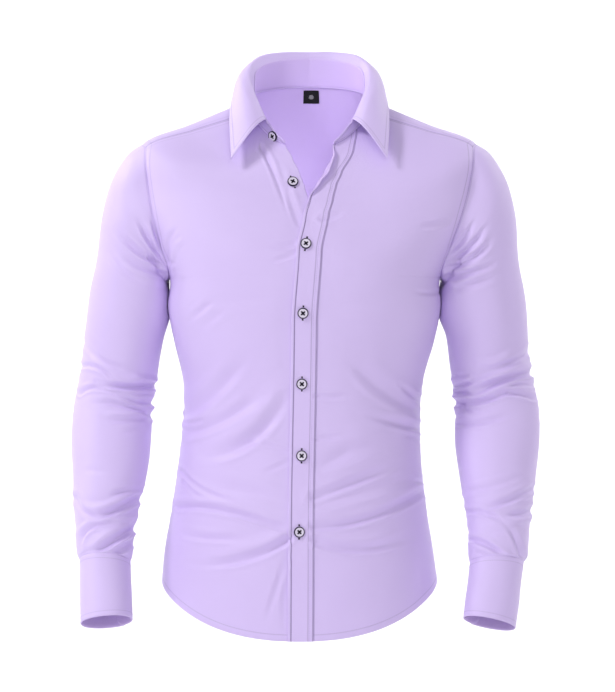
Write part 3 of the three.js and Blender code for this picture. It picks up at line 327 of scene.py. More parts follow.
SLEEVE_BACK_FOLDS = (
    (84, 372, 116, 366, 152, 384, 6, 2.6, 0.25, 0.9, 0.5),
    (82, 396, 112, 392, 152, 402, 6, 3.0, 0.25, 0.6, 0.9),
    (78, 414, 112, 424, 150, 416, 6, 2.4, 0.25, 0.5, 0.9),
    (80, 440, 104, 446, 130, 440, 6, 1.2, 0.2, 0.3, 0.1),
    (78, 500, 104, 512, 142, 500, 5, 2.4, 0.3, 0.8, 0.8),
    (80, 530, 106, 524, 138, 530, 5, 2.2, 0.3, 0.8, 0.8),
    (86, 556, 100, 542, 112, 538, 4, 1.8, 0.2, 0.9, 0.1),
    (140, 224, 150, 244, 168, 258, 5, 1.8, 0.2, 0.1, 1.0),
    (122, 244, 142, 260, 168, 266, 5, 1.8, 0.2, 0.1, 1.0),
    (532, 374, 500, 366, 460, 386, 6, 2.6, -0.25, 0.9, 0.5),
    (534, 398, 500, 392, 458, 404, 6, 3.0, -0.25, 0.6, 0.9),
    (536, 418, 504, 426, 458, 418, 6, 2.2, -0.25, 0.5, 0.9),
    (530, 446, 508, 452, 484, 444, 6, 1.2, -0.2, 0.3, 0.1),
    (531, 500, 504, 512, 466, 502, 5, 2.4, -0.3, 0.8, 0.8),
    (529, 530, 500, 524, 470, 534, 5, 2.2, -0.3, 0.8, 0.8),
    (520, 560, 508, 544, 496, 540, 4, 1.8, -0.2, 0.9, 0.1),
    (472, 222, 462, 242, 446, 256, 5, 1.8, -0.2, 0.1, 1.0),
    (492, 240, 472, 258, 446, 266, 5, 1.8, -0.2, 0.1, 1.0),
)


def ramp(a, b, value):
    t = np.clip((np.asarray(value, float) - a) / (b - a), 0, 1)
    return t * t * (3 - 2 * t)


def rounded(value, power):
    return np.sign(value) * np.abs(value) ** power


def unit(v):
    return v / np.maximum(np.linalg.norm(v, axis=-1, keepdims=True), 1e-12)


def read_rows(rows, place):
    """Rows of a table at places between them, along smooth curves."""
    last = len(rows) - 1
    place = np.clip(np.asarray(place, float), 0, last)
    k = np.minimum(last - 1, np.floor(place).astype(int))
    t = (place - k)[..., None]
    p1, p2 = rows[k], rows[k + 1]
    p0 = np.where((k > 0)[..., None], rows[np.maximum(k - 1, 0)], 2 * p1 - p2)
    p3 = np.where((k + 2 <= last)[..., None], rows[np.minimum(k + 2, last)], 2 * p2 - p1)
    m1, m2 = (p2 - p0) / 2, (p3 - p1) / 2
    return ((2 * t**3 - 3 * t**2 + 1) * p1 + (t**3 - 2 * t**2 + t) * m1
            + (3 * t**2 - 2 * t**3) * p2 + (t**3 - t**2) * m2)


def body_ring(place):
    values = read_rows(BODY_ROWS, place)
    return {name: values[..., c] for c, name in enumerate(BODY_COLUMNS)}


def edges_at(height):
    """Edge of the right front, fold of the left one and width turned, at heights."""
    height = np.asarray(height, float)
    k = np.clip(np.searchsorted(EDGE_ROWS[:, 0], height, side="left") - 1, 0, len(EDGE_ROWS) - 2)
    low, high = EDGE_ROWS[k], EDGE_ROWS[k + 1]
    t = np.clip((height - low[..., 0]) / (high[..., 0] - low[..., 0]), 0, 1)
    t = (ramp(0, 1, t) * 0.5 + t * 0.5)[..., None]
    values = low + (high - low) * t
    return values[..., 1], values[..., 2], values[..., 3]


def body_point(place, angle):
    ring = body_ring(place)
    power = 2 / ring["square"]
    ahead = np.cos(angle)
    end = np.where(ahead > 0, ring["front"], ring["back"])
    depth = np.where(ahead > 0, ring["chest"], ring["spine"])
    x = ring["middle"] + ring["half"] * rounded(np.sin(angle), power)
    y = -depth * rounded(ahead, power)
    z = ring["side"] + (end - ring["side"]) * np.abs(ahead) ** ring["bend"]
    return np.stack(np.broadcast_arrays(x, y, z), -1)


def angle_across(place, across):
    ring = body_ring(place)
    share = (across - ring["middle"]) / ring["half"]
    return np.arcsin(np.sign(share) * np.minimum(1, np.abs(share) ** (ring["square"] / 2)))


def armhole_angle(place):
    ring = body_ring(place)
    return np.arcsin(np.minimum(1, (ring["arm"] / ring["half"]) ** (ring["square"] / 2)))


def front_side_angle(place):
    if place <= PIT_RING:
        return math.pi / 2
    return float(armhole_angle(min(place, SHOULDER_RING)))


def back_side_angle(place):
    if place <= PIT_RING:
        return math.pi / 2
    return math.pi - float(armhole_angle(min(place, SHOULDER_RING)))


def body_places(first, last):
    places = []
    for k in range(first, last):
        places.extend(k + np.arange(RING_STEPS[k]) / RING_STEPS[k])
    places.append(float(last))
    return np.array(places)


def spread(point_at, start, end, shares):
    """Angles between two ends that stand at shares of the way along the cloth."""
    angles = np.linspace(start, end, 240)
    points = point_at(angles)
    run = np.concatenate([[0], np.cumsum(np.linalg.norm(np.diff(points, axis=0), axis=1))])
    return np.interp(np.asarray(shares) * run[-1], run, angles)


def even_shares(count, fine, ends):
    """Shares from 0 to 1 with finer steps at the ends. ends: 'both', 'last' or 'none'."""
    steps = np.ones(count)
    small = (0.3, 0.45, 0.7)
    if ends == "both":
        steps[:3] = np.array(small) * fine
    if ends != "none":
        steps[-3:] = np.array(small[::-1]) * fine
    run = np.concatenate([[0], np.cumsum(steps)])
    return run / run[-1]


def grid_normals(points, closed=False):
    """Outward directions of a grid whose columns and rows turn to the outside."""
    if closed:
        across = np.roll(points, -1, 1) - np.roll(points, 1, 1)
    else:
        across = np.gradient(points, axis=1)
    up = np.gradient(points, axis=0)
    return unit(np.cross(across, up))


def picture(points):
    """Where points of the shirt stand in the picture."""
    f = EYE_AWAY / (EYE_AWAY + points[..., 1])
    px = PICTURE_MIDDLE_X + (points[..., 0] - EYE_ACROSS) * f / MM_A_PIXEL
    py = PICTURE_MIDDLE_Y - (points[..., 2] - EYE_HEIGHT) * f / MM_A_PIXEL
    return px, py


def fold_depth(folds, px, py):
    """How far the creases press in each point of the picture, in mm."""
    depth = np.zeros(px.shape)
    t = np.linspace(0, 1, 25)
    for values in folds:
        c = dict(zip(FOLD_COLUMNS, values))
        cx = (1 - t) ** 2 * c["x0"] + 2 * t * (1 - t) * c["x1"] + t**2 * c["x2"]
        cy = (1 - t) ** 2 * c["y0"] + 2 * t * (1 - t) * c["y1"] + t**2 * c["y2"]
        reach = 3.2 * c["width"] / MM_A_PIXEL
        near = ((px > cx.min() - reach) & (px < cx.max() + reach)
                & (py > cy.min() - reach) & (py < cy.max() + reach))
        if not near.any():
            continue
        qx, qy = px[near], py[near]
        best = np.full(qx.shape, 1e9)
        side = np.zeros(qx.shape)
        place = np.zeros(qx.shape)
        for k in range(len(t) - 1):
            dx, dy = cx[k + 1] - cx[k], cy[k + 1] - cy[k]
            size = dx * dx + dy * dy + 1e-9
            s = ((qx - cx[k]) * dx + (qy - cy[k]) * dy) / size
            inside = np.clip(s, 0, 1)
            away = np.hypot(qx - cx[k] - inside * dx, qy - cy[k] - inside * dy)
            closer = away < best
            best = np.where(closer, away, best)
            side = np.where(closer, np.sign((qx - cx[k]) * dy - (qy - cy[k]) * dx), side)
            place = np.where(closer, (k + inside) / (len(t) - 1), place)
        off = side * best * MM_A_PIXEL / c["width"]
        off = off / (1 + c["skew"] * np.sign(off))
        shape = (0.66 * np.exp(-off**2) + 0.34 * np.exp(-np.abs(off * 2.2) ** 1.5)
                 - 0.36 * np.exp(-((np.abs(off) - 1.7) / 0.65) ** 2))
        fade = (c["start"] + (1 - c["start"]) * ramp(0, 0.35, place)) * (
            c["end"] + (1 - c["end"]) * ramp(0, 0.35, 1 - place))
        depth[near] += FOLD_GAIN * c["depth"] * fade * shape
    return depth


def press(points, folds, facing, fade=1.0, closed=False):
    """Presses creases into the side of a grid that faces the viewer, or away for facing -1."""
    normals = grid_normals(points, closed)
    px, py = picture(points)
    weight = ramp(-0.3, 0.3, -facing * normals[..., 1])
    depth = fold_depth(folds, px, py) * weight * fade
    return points - normals * depth[..., None]


def ripple(points, seed, size, strength):
    """Slight unevenness of worn cloth, as a sum of slow waves."""
    rng = np.random.default_rng(seed)
    total = np.zeros(points.shape[:-1])
    for _ in range(9):
        direction = unit(rng.normal(size=3) * np.array([1.0, 0.6, 0.9]))
        length = size * rng.uniform(0.6, 1.6)
        total += np.sin(points @ direction * 2 * math.pi / length + rng.uniform(0, 6.28))
    return total * strength / 3


def edge_fade(shape, rows_low=0, rows_high=0, columns_low=0, columns_high=0):
    """Fades to 0 toward the named edges of a grid, over so many rows or columns."""
    fade = np.ones(shape)
    i = np.arange(shape[0])[:, None]
    j = np.arange(shape[1])[None, :]
    if rows_low:
        fade = fade * ramp(0, rows_low, i)
    if rows_high:
        fade = fade * ramp(0, rows_high, shape[0] - 1 - i)
    if columns_low:
        fade = fade * ramp(0, columns_low, j)
    if columns_high:
        fade = fade * ramp(0, columns_high, shape[1] - 1 - j)
    return fade


def distance_to(points, line):
    """Distance of each point of a grid from a line of points."""
    flat = points.reshape(-1, 3)
    best = np.full(len(flat), 1e9)
    for a, b in zip(line[:-1], line[1:]):
        ab = b - a
        t = np.clip(((flat - a) @ ab) / max(ab @ ab, 1e-9), 0, 1)
        away = np.linalg.norm(flat - a - t[:, None] * ab, axis=1)
        best = np.minimum(best, away)
    return best.reshape(points.shape[:-1])


def cloth_run(points, closed=False):
    """Distances across and along the cloth of a grid, in mm, for its weave."""
    across = np.linalg.norm(np.diff(points, axis=1), axis=2)
    if closed:
        last = np.linalg.norm(points[:, :1] - points[:, -1:], axis=2)
        across = np.concatenate([across, last], 1)
    mean = across.mean(0)
    u = np.concatenate([[0], np.cumsum(mean)])
    along = np.linalg.norm(np.diff(points, axis=0), axis=2).mean(1)
    v = np.concatenate([[0], np.cumsum(along)])
    columns = points.shape[1] + (1 if closed else 0)
    u, v = np.meshgrid(u[:columns], v)
    return u, v


def link(mesh, name):
    piece = bpy.data.objects.new(name, mesh)
    bpy.context.scene.collection.objects.link(piece)
    return piece


def finish_piece(piece, material):
    piece.data.materials.clear()
    piece.data.materials.append(material)
    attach(piece, "root")
    return piece


def cloth_shell(name, points, material, thickness, lift=0.0, closed=False, mask=None,
                marks=None, normals=None):
    """A thin closed shell of cloth on a grid of points, with a rounded rim."""
    rows, columns = points.shape[:2]
    if normals is None:
        normals = grid_normals(points, closed)
    u, v = cloth_run(points, closed)
    cell_columns = columns if closed else columns - 1
    i, j = np.meshgrid(np.arange(rows - 1), np.arange(cell_columns), indexing="ij")
    keep = np.ones(i.shape, bool) if mask is None else mask
    i, j = i[keep], j[keep]
    k = (j + 1) % columns
    quads = np.stack([i * columns + j, i * columns + k, (i + 1) * columns + k, (i + 1) * columns + j], 1)
    corner_uv = np.stack([
        np.stack([u[i, j], v[i, j]], 1), np.stack([u[i, j + 1], v[i, j + 1]], 1),
        np.stack([u[i + 1, j + 1], v[i + 1, j + 1]], 1), np.stack([u[i + 1, j], v[i + 1, j]], 1),
    ], 1)
    used, inverse = np.unique(quads, return_inverse=True)
    quads = inverse.reshape(-1, 4)
    p = points.reshape(-1, 3)[used]
    n = normals.reshape(-1, 3)[used]
    count = len(used)
    outer = p + n * lift
    inner = p + n * (lift - thickness)
    start = quads.ravel()
    stop = np.roll(quads, -1, 1).ravel()
    edge_uv_a = corner_uv.reshape(-1, 2)
    edge_uv_b = np.roll(corner_uv, -1, 1).reshape(-1, 2)
    free = ~np.isin(start * count + stop, stop * count + start)
    a, b = start[free], stop[free]
    uv_a, uv_b = edge_uv_a[free], edge_uv_b[free]
    rim = np.unique(np.concatenate([a, b]))
    rim_id = np.full(count, -1)
    rim_id[rim] = np.arange(len(rim))
    outward = np.zeros((count, 3))
    away = np.cross(unit(p[b] - p[a]), n[a])
    np.add.at(outward, a, away)
    np.add.at(outward, b, away)
    middle = p[rim] + n[rim] * (lift - thickness / 2) + unit(outward[rim]) * thickness * 0.42
    vertices = np.concatenate([outer, inner, middle]) * METRES
    mid_a = 2 * count + rim_id[a]
    mid_b = 2 * count + rim_id[b]
    faces = np.concatenate([
        quads, quads[:, ::-1] + count,
        np.stack([b, a, mid_a, mid_b], 1),
        np.stack([mid_b, mid_a, a + count, b + count], 1),
    ])
    uv = np.concatenate([
        corner_uv, corner_uv[:, ::-1],
        np.stack([uv_b, uv_a, uv_a, uv_b], 1), np.stack([uv_b, uv_a, uv_a, uv_b], 1),
    ])
    mesh = bpy.data.meshes.new(name)
    mesh.vertices.add(len(vertices))
    mesh.vertices.foreach_set("co", vertices.astype(np.float32).ravel())
    mesh.loops.add(faces.size)
    mesh.loops.foreach_set("vertex_index", faces.astype(np.int32).ravel())
    mesh.polygons.add(len(faces))
    mesh.polygons.foreach_set("loop_start", np.arange(0, faces.size, 4, dtype=np.int32))
    mesh.update(calc_edges=True)
    layer = mesh.uv_layers.new(name="cloth")
    layer.data.foreach_set("uv", uv.astype(np.float32).ravel())
    inside_face = mesh.attributes.new("inside_face", "FLOAT", "POINT")
    inside_face.data.foreach_set("value", np.repeat([0.0, 1.0, 0.4], [count, count, len(rim)]).astype(np.float32))
    for mark, values in (marks or {}).items():
        flat = values.reshape(-1)[used]
        attribute = mesh.attributes.new(mark, "FLOAT", "POINT")
        attribute.data.foreach_set("value", np.concatenate([flat, flat, flat[rim]]).astype(np.float32))
    mesh.validate()
    mesh.polygons.foreach_set("use_smooth", np.ones(len(mesh.polygons), bool))
    mesh.update()
    return finish_piece(link(mesh, name), material)


# Materials


def nodes_of(name):
    material = bpy.data.materials.new(name)
    material.use_nodes = True
    tree = material.node_tree
    shader = tree.nodes["Principled BSDF"]
    return material, tree, shader


class Shading:
    """Small helper that joins shader nodes."""

    def __init__(self, tree):
        self.tree = tree

    def node(self, kind, **settings):
        made = self.tree.nodes.new(kind)
        for key, value in settings.items():
            setattr(made, key, value)
        return made

    def put(self, socket, value):
        if isinstance(value, bpy.types.NodeSocket):
            self.tree.links.new(value, socket)
        else:
            socket.default_value = value

    def math(self, operation, a, b=0.0, c=0.0):
        made = self.node("ShaderNodeMath", operation=operation)
        for socket, value in zip(made.inputs, (a, b, c)):
            self.put(socket, value)
        return made.outputs[0]

    def mix(self, share, a, b):
        made = self.node("ShaderNodeMix", data_type="RGBA")
        self.put(made.inputs["Factor"], share)
        self.put(made.inputs[6], a)
        self.put(made.inputs[7], b)
        return made.outputs[2]

    def noise(self, vector, scale, detail=3.0, rough=0.55):
        made = self.node("ShaderNodeTexNoise")
        self.put(made.inputs["Vector"], vector)
        self.put(made.inputs["Scale"], scale)
        self.put(made.inputs["Detail"], detail)
        self.put(made.inputs["Roughness"], rough)
        return made.outputs["Fac"]

    def bump(self, height, distance, strength, normal=None):
        made = self.node("ShaderNodeBump")
        self.put(made.inputs["Height"], height)
        self.put(made.inputs["Distance"], distance)
        self.put(made.inputs["Strength"], strength)
        if normal is not None:
            self.put(made.inputs["Normal"], normal)
        return made.outputs["Normal"]


LIT = (0.660, 0.530, 0.885, 1)
SHADE = (0.620, 0.485, 0.860, 1)
# Painted shade: the dark colour laid along seam grooves, stitch lines and the shadow beside the placket's edge
GROOVE_SHADE = (0.150, 0.095, 0.270, 1)
# Painted shade: the inside face of the cloth takes this darker, more purple tint, standing in for the shade within the
# shirt
INSIDE_SHADE = (0.640, 0.480, 0.880, 1)


def cloth_material(name, lines=(), weave=0.55, sheen=0.12, pucker=0.35):
    """Smooth fine twill; along its seam and stitch lines the cloth dips and is darkened with painted shade. lines:
    (mark, distance from it, strength).
    """
    material, tree, shader = nodes_of(name)
    s = Shading(tree)
    uv = s.node("ShaderNodeUVMap", uv_map="cloth").outputs["UV"]
    split = s.node("ShaderNodeSeparateXYZ")
    s.put(split.inputs[0], uv)
    u, v = split.outputs[0], split.outputs[1]
    place = s.node("ShaderNodeTexCoord").outputs["Object"]
    # fine steep twill: ribs that climb across the cloth, broken by the weft
    rib = s.math("SINE", s.math("MULTIPLY", s.math("ADD", s.math("MULTIPLY", u, 1.6), v), 2 * math.pi / 0.62))
    weft = s.math("SINE", s.math("MULTIPLY", s.math("SUBTRACT", v, s.math("MULTIPLY", u, 0.35)), 2 * math.pi / 0.37))
    grain = s.math("ADD", s.math("MULTIPLY", rib, 0.6), s.math("MULTIPLY", weft, 0.3))
    slub = s.noise(uv, 0.55, 4.0)
    broad = s.noise(place, 9.0, 3.0)
    tint = s.mix(s.math("MULTIPLY", broad, 0.55), LIT, SHADE)
    tint = s.mix(s.math("MULTIPLY", s.math("MAXIMUM", grain, 0.0), 0.10), tint, SHADE)
    total = None
    for mark, offset, strength in lines:
        away = s.node("ShaderNodeAttribute", attribute_name=mark).outputs["Fac"]
        d = s.math("DIVIDE", s.math("SUBTRACT", away, offset), 0.66)
        groove = s.math("MULTIPLY", s.math("EXPONENT", s.math("MULTIPLY", s.math("MULTIPLY", d, d), -1.0)), strength)
        wide = s.math("DIVIDE", s.math("SUBTRACT", away, offset), 5.0)
        near = s.math("EXPONENT", s.math("MULTIPLY", s.math("MULTIPLY", wide, wide), -1.0))
        total = (groove, near) if total is None else (
            s.math("ADD", total[0], groove), s.math("MAXIMUM", total[1], near))
    normal = None
    if total:
        # painted shade: the cloth darkens toward the dark line colour along each line, standing in for the shadow in
        # the groove
        tint = s.mix(s.math("MINIMUM", total[0], 1.0), tint, GROOVE_SHADE)
        gathers = s.noise(uv, 0.22, 2.0)
        height = s.math("SUBTRACT", s.math("MULTIPLY", s.math("MULTIPLY", gathers, total[1]), pucker * 2.0), total[0])
        normal = s.bump(height, 0.00055, 0.75)
    normal = s.bump(s.noise(uv, 0.035, 3.0), 0.0012, 0.5, normal)
    normal = s.bump(s.math("ADD", grain, s.math("MULTIPLY", slub, 1.4)), 0.00006, weave, normal)
    # painted shade: faces on the inside of the shirt are tinted toward the darker inside colour
    inner = s.node("ShaderNodeAttribute", attribute_name="inside_face").outputs["Fac"]
    tint = s.mix(inner, tint, s.mix(s.math("MULTIPLY", broad, 0.5), INSIDE_SHADE, LIT))
    s.put(shader.inputs["Base Color"], tint)
    s.put(shader.inputs["Normal"], normal)
    s.put(shader.inputs["Roughness"], s.math("ADD", s.math("MULTIPLY", slub, 0.14), 0.42))
    s.put(shader.inputs["Sheen Weight"], sheen)
    s.put(shader.inputs["Sheen Roughness"], 0.42)
    s.put(shader.inputs["Sheen Tint"], (0.95, 0.93, 1.0, 1))
    s.put(shader.inputs["Specular IOR Level"], 0.8)
    return material


def plain_material(name, colour, roughness, scale, bump, specular=0.3, variety=0.28):
    """A surface with slight variation of colour and relief."""
    material, tree, shader = nodes_of(name)
    s = Shading(tree)
    place = s.node("ShaderNodeTexCoord").outputs["Object"]
    grain = s.noise(place, scale, 3.0)
    darker = tuple(c * (1 - variety) for c in colour[:3]) + (1,)
    s.put(shader.inputs["Base Color"], s.mix(grain, colour, darker))
    s.put(shader.inputs["Roughness"], s.math("ADD", s.math("MULTIPLY", grain, 0.12), roughness))
    s.put(shader.inputs["Specular IOR Level"], specular)
    s.put(shader.inputs["Normal"], s.bump(grain, bump, 0.5))
    return material


# Lines of painted shade: each material darkens along these seam, edge and stitch lines; on the left front the band
# line paints the shadow beside the placket's edge
PANEL = cloth_material("shirting_panel", (
    ("hem", 8.0, 0.2), ("arm", 1.0, 0.16), ("arm", 8.5, 0.16), ("yoke", 1.2, 0.4), ("yoke", 6.5, 0.14)))
FRONT_PANEL = cloth_material("shirting_front", (
    ("hem", 8.0, 0.2), ("arm", 1.0, 0.35), ("arm", 8.5, 0.30), ("yoke", 1.2, 0.4), ("band", 1.0, 0.4)))
SLEEVE = cloth_material("shirting_sleeve", (("arm", 1.0, 0.2),))
BAND = cloth_material("shirting_band", (("edge_left", 4.0, 1.0), ("edge_right", 6.6, 0.4), ("edge_right", 0.5, 0.6)))
CUFF = cloth_material("shirting_cuff", (("rim", 6.2, 0.10),))
COLLAR = cloth_material("shirting_collar", (("rim", 5.0, 0.22), ("rim", 1.2, 0.12)))
STAND = cloth_material("shirting_stand", (("rim", 2.0, 0.2),))
THREAD = plain_material("thread", (0.56, 0.45, 0.78, 1), 0.55, 900, 0.00003)
BUTTON_FACE = plain_material("button_face", (0.80, 0.74, 0.90, 1), 0.20, 160, 0.00002, 0.55)
BUTTON_RIM = plain_material("button_rim", (0.022, 0.012, 0.050, 1), 0.45, 160, 0.00002, 0.15)
DARK_THREAD = plain_material("button_thread", (0.012, 0.008, 0.020, 1), 0.7, 900, 0.00003, 0.15)
LABEL = plain_material("label_satin", (0.004, 0.004, 0.005, 1), 0.7, 700, 0.00005)
LABEL_MARK = plain_material("label_mark", (0.75, 0.74, 0.78, 1), 0.6, 900, 0.00004)

# Stitches

THREAD_SIDES = 5
# Share of its radius that a thread lies sunk in the cloth
THREAD_SINK = 0.6


def thread_mesh(segments, radius):
    """Rounded threads from point to point, with their own facing directions."""
    a = np.array([s[0] for s in segments])
    b = np.array([s[1] for s in segments])
    n = unit(np.array([s[2] for s in segments]))
    along = unit(b - a)
    side = unit(np.cross(n, along))
    n = np.cross(along, side)
    size = np.linalg.norm(b - a, axis=1)
    rings = ((0.0, 0.0, 0.0), (0.12, 0.75, 0.35), (0.5, 1.0, 1.0), (0.88, 0.75, 0.35), (1.0, 0.0, 0.0))
    points, faces = [], []
    for share, wide, high in rings:
        centre = a + along * (size * share)[:, None] + n * radius * (high - THREAD_SINK)
        if wide == 0:
            points.append(centre[:, None])
            continue
        turn = np.arange(THREAD_SIDES) * 2 * math.pi / THREAD_SIDES
        ring = (centre[:, None] + side[:, None] * (np.cos(turn) * radius * wide)[None, :, None]
                + n[:, None] * (np.sin(turn) * radius * wide)[None, :, None])
        points.append(ring)
    points = np.concatenate(points, 1)
    each = points.shape[1]
    c = THREAD_SIDES
    for m in range(c):
        q = (m + 1) % c
        faces.append((0, 1 + q, 1 + m))
        for r in range(2):
            low, high = 1 + r * c, 1 + (r + 1) * c
            faces.append((low + m, low + q, high + q, high + m))
        faces.append((each - 1, 1 + 2 * c + m, 1 + 2 * c + q))
    return points, faces, each


def add_threads(name, segments, radius, material):
    points, faces, each = thread_mesh(segments, radius)
    count = len(points)
    every = [tuple(v + k * each for v in f) for k in range(count) for f in faces]
    mesh = bpy.data.meshes.new(name)
    mesh.from_pydata((points.reshape(-1, 3) * METRES).tolist(), [], every)
    mesh.polygons.foreach_set("use_smooth", np.ones(len(mesh.polygons), bool))
    mesh.update()
    return finish_piece(link(mesh, name), material)


def stitches_along(line, normals, pitch=2.9, length=2.2, raise_by=0.05):
    """Stitches laid end to end along a line on the cloth."""
    step = np.linalg.norm(np.diff(line, axis=0), axis=1)
    run = np.concatenate([[0], np.cumsum(step)])
    if run[-1] < pitch:
        return []
    count = int(run[-1] / pitch)
    starts = (np.arange(count) + 0.5 * (1 - length / pitch)) * run[-1] / count
    ends = starts + length
    at = lambda places, values: np.stack([np.interp(places, run, values[:, c]) for c in range(3)], 1)
    n = unit(at((starts + ends) / 2, normals))
    a = at(starts, line) + n * raise_by
    b = at(ends, line) + n * raise_by
    return list(zip(a, b, n))


def level_line(points, normals, values, level, axis):
    """The line on a grid where a mark passes a level, one point for each row or column."""
    if axis == 0:
        points, normals, values = points.swapaxes(0, 1), normals.swapaxes(0, 1), values.swapaxes(0, 1)
    line, facing = [], []
    for row, way, marks in zip(points, normals, values):
        cross = np.nonzero((marks[:-1] - level) * (marks[1:] - level) <= 0)[0]
        if len(cross) == 0:
            continue
        k = cross[-1]
        t = (level - marks[k]) / (marks[k + 1] - marks[k] + 1e-12)
        line.append(row[k] + (row[k + 1] - row[k]) * t)
        facing.append(way[k] + (way[k + 1] - way[k]) * t)
    return np.array(line), np.array(facing)


# Body panels

places = body_places(0, NECK_RING)
heights = body_ring(places)["front"]
under_edge, fold_edge, turned_width = edges_at(heights)
BAND_STEPS = np.array([0, 1, 2, 3, 4, 5, 6, 8, 10, 12, 14, 16, 18, 20, 22, 23.5, 25, 26.5, 28, 29.5, 30.6, 31.6, 32.4])
SIDE_SHARES = even_shares(70, 1.0, "last")


def front_grid(side):
    edge = fold_edge - turned_width if side > 0 else under_edge
    rows = []
    for place, start in zip(places, edge):
        band = angle_across(place, start + side * BAND_STEPS)
        rest = spread(lambda a: body_point(place, a), band[-1], side * front_side_angle(place), SIDE_SHARES[1:])
        rows.append(body_point(place, np.concatenate([band, rest])))
    return np.array(rows)


def turn_back(points):
    """Rolls the strip beside the left front's edge over, so that its inside shows."""
    points = points.copy()
    for i, place in enumerate(places):
        turned = turned_width[i]
        if turned < 0.5:
            continue
        angle = float(angle_across(place, fold_edge[i]))
        fold = body_point(place, angle)
        inward = unit(body_point(place, float(angle_across(place, fold_edge[i] + BAND_WIDTH))) - fold)
        up = unit(body_point(place + 0.05, float(angle_across(min(place + 0.05, NECK_RING), fold_edge[i]))) - fold)
        outward = unit(np.cross(inward, up))
        for j, distance in enumerate(BAND_STEPS):
            past = turned - distance
            if past <= 0:
                break
            turn = min(past / TURN_RADIUS, TURN_ANGLE)
            rest = past - turn * TURN_RADIUS
            points[i, j] = (fold - inward * (TURN_RADIUS * math.sin(turn) + rest * math.cos(turn))
                            + outward * (TURN_RADIUS * (1 - math.cos(turn)) + rest * math.sin(turn)))
    return points


band_count = len(BAND_STEPS)
pit_row = int(np.argmin(np.abs(places - PIT_RING)))
yoke_row = int(np.argmin(np.abs(places - YOKE_RING)))
shoulder_row = int(np.argmin(np.abs(places - SHOULDER_RING)))
last_row = len(places) - 1


def marks_of(points, arm_line, yoke_line, hem_line):
    return {"arm": distance_to(points, arm_line), "yoke": distance_to(points, yoke_line),
            "hem": distance_to(points, hem_line)}


def front_marks(points, outer_column):
    line = points[:, outer_column]
    marks = marks_of(points, line[pit_row:shoulder_row + 1], line[shoulder_row:], points[0])
    band = band_count - 1 if outer_column else points.shape[1] - band_count
    marks["band"] = distance_to(points, points[:, band])
    return marks


def pull_in_rim(points, normals, marks):
    """Lets the cloth dip at its sewn seams."""
    dip = 0.25 * np.exp(-(marks["arm"] / 1.6) ** 2) + 0.45 * np.exp(-(marks["yoke"] / 1.6) ** 2)
    return points - normals * dip[..., None]


right_front = front_grid(-1)[:, ::-1]
shape = right_front.shape[:2]
fade = edge_fade(shape, columns_low=4, rows_high=12)
right_front = press(right_front, FRONT_FOLDS, 1, fade)
normals = grid_normals(right_front)
sink_edge = edges_at(right_front[..., 2])[1]
sink = LAP_SINK * ramp(sink_edge - 26, sink_edge - 3, right_front[..., 0])
right_front = right_front - normals * (sink + ripple(right_front, 3, 90, 0.35) * fade)[..., None]
right_marks = front_marks(right_front, 0)
right_front = pull_in_rim(right_front, grid_normals(right_front), right_marks)
front_right = cloth_shell("front_right_panel", right_front, PANEL, CLOTH, marks=right_marks)

left_front = front_grid(1)
fade = edge_fade(shape, columns_high=4, rows_high=12)
left_front = press(left_front, FRONT_FOLDS, 1, fade)
normals = grid_normals(left_front)
left_front = left_front - normals * (ripple(left_front, 4, 90, 0.35) * fade)[..., None]
left_marks = front_marks(left_front, -1)
left_front = pull_in_rim(left_front, grid_normals(left_front), left_marks)
left_front = turn_back(left_front)
front_left = cloth_shell("front_left_panel", left_front, FRONT_PANEL, CLOTH, marks=left_marks)

left_normals = grid_normals(left_front)
right_normals = grid_normals(right_front)
band_points = left_front[:, :band_count]
band_run = np.broadcast_to(BAND_STEPS, band_points.shape[:2])
band_marks = {"edge_left": band_run.copy(), "edge_right": BAND_WIDTH - band_run}
placket = cloth_shell("front_placket_band", band_points, BAND, BAND_CLOTH,
                      lift=BAND_CLOTH + 0.05, marks=band_marks, normals=left_normals[:, :band_count])

# Back and yoke
WING_SHARES = np.linspace(0, 1, 15)
BACK_SHARES = even_shares(150, 1.0, "both")
wing_angle = float(armhole_angle(SHOULDER_RING))
rows = []
for place in places:
    at = lambda a, place=place: body_point(place, a)
    start = back_side_angle(place)
    left_wing = spread(at, wing_angle, math.pi - wing_angle, WING_SHARES[:-1])
    middle = spread(at, start, 2 * math.pi - start, BACK_SHARES)
    right_wing = spread(at, math.pi + wing_angle, 2 * math.pi - wing_angle, WING_SHARES[1:])
    rows.append(body_point(place, np.concatenate([left_wing, middle, right_wing])))
round_back = np.array(rows)
wing = len(WING_SHARES) - 1
back_columns = len(BACK_SHARES)
back_points = round_back[:yoke_row + 1, wing:wing + back_columns]
fade = edge_fade(back_points.shape[:2], rows_high=8, columns_low=4, columns_high=4)
back_points = press(back_points, BACK_FOLDS, -1, fade)
back_normals = grid_normals(back_points)
back_points = back_points - back_normals * (ripple(back_points, 5, 100, 0.4) * fade)[..., None]
back_marks = marks_of(back_points, np.concatenate([back_points[pit_row:, 0]]), back_points[-1], back_points[0])
other_arm = distance_to(back_points, back_points[pit_row:, -1])
back_marks["arm"] = np.minimum(back_marks["arm"], other_arm)
back_points = pull_in_rim(back_points, grid_normals(back_points), back_marks)
back = cloth_shell("back_panel", back_points, PANEL, CLOTH, marks=back_marks)

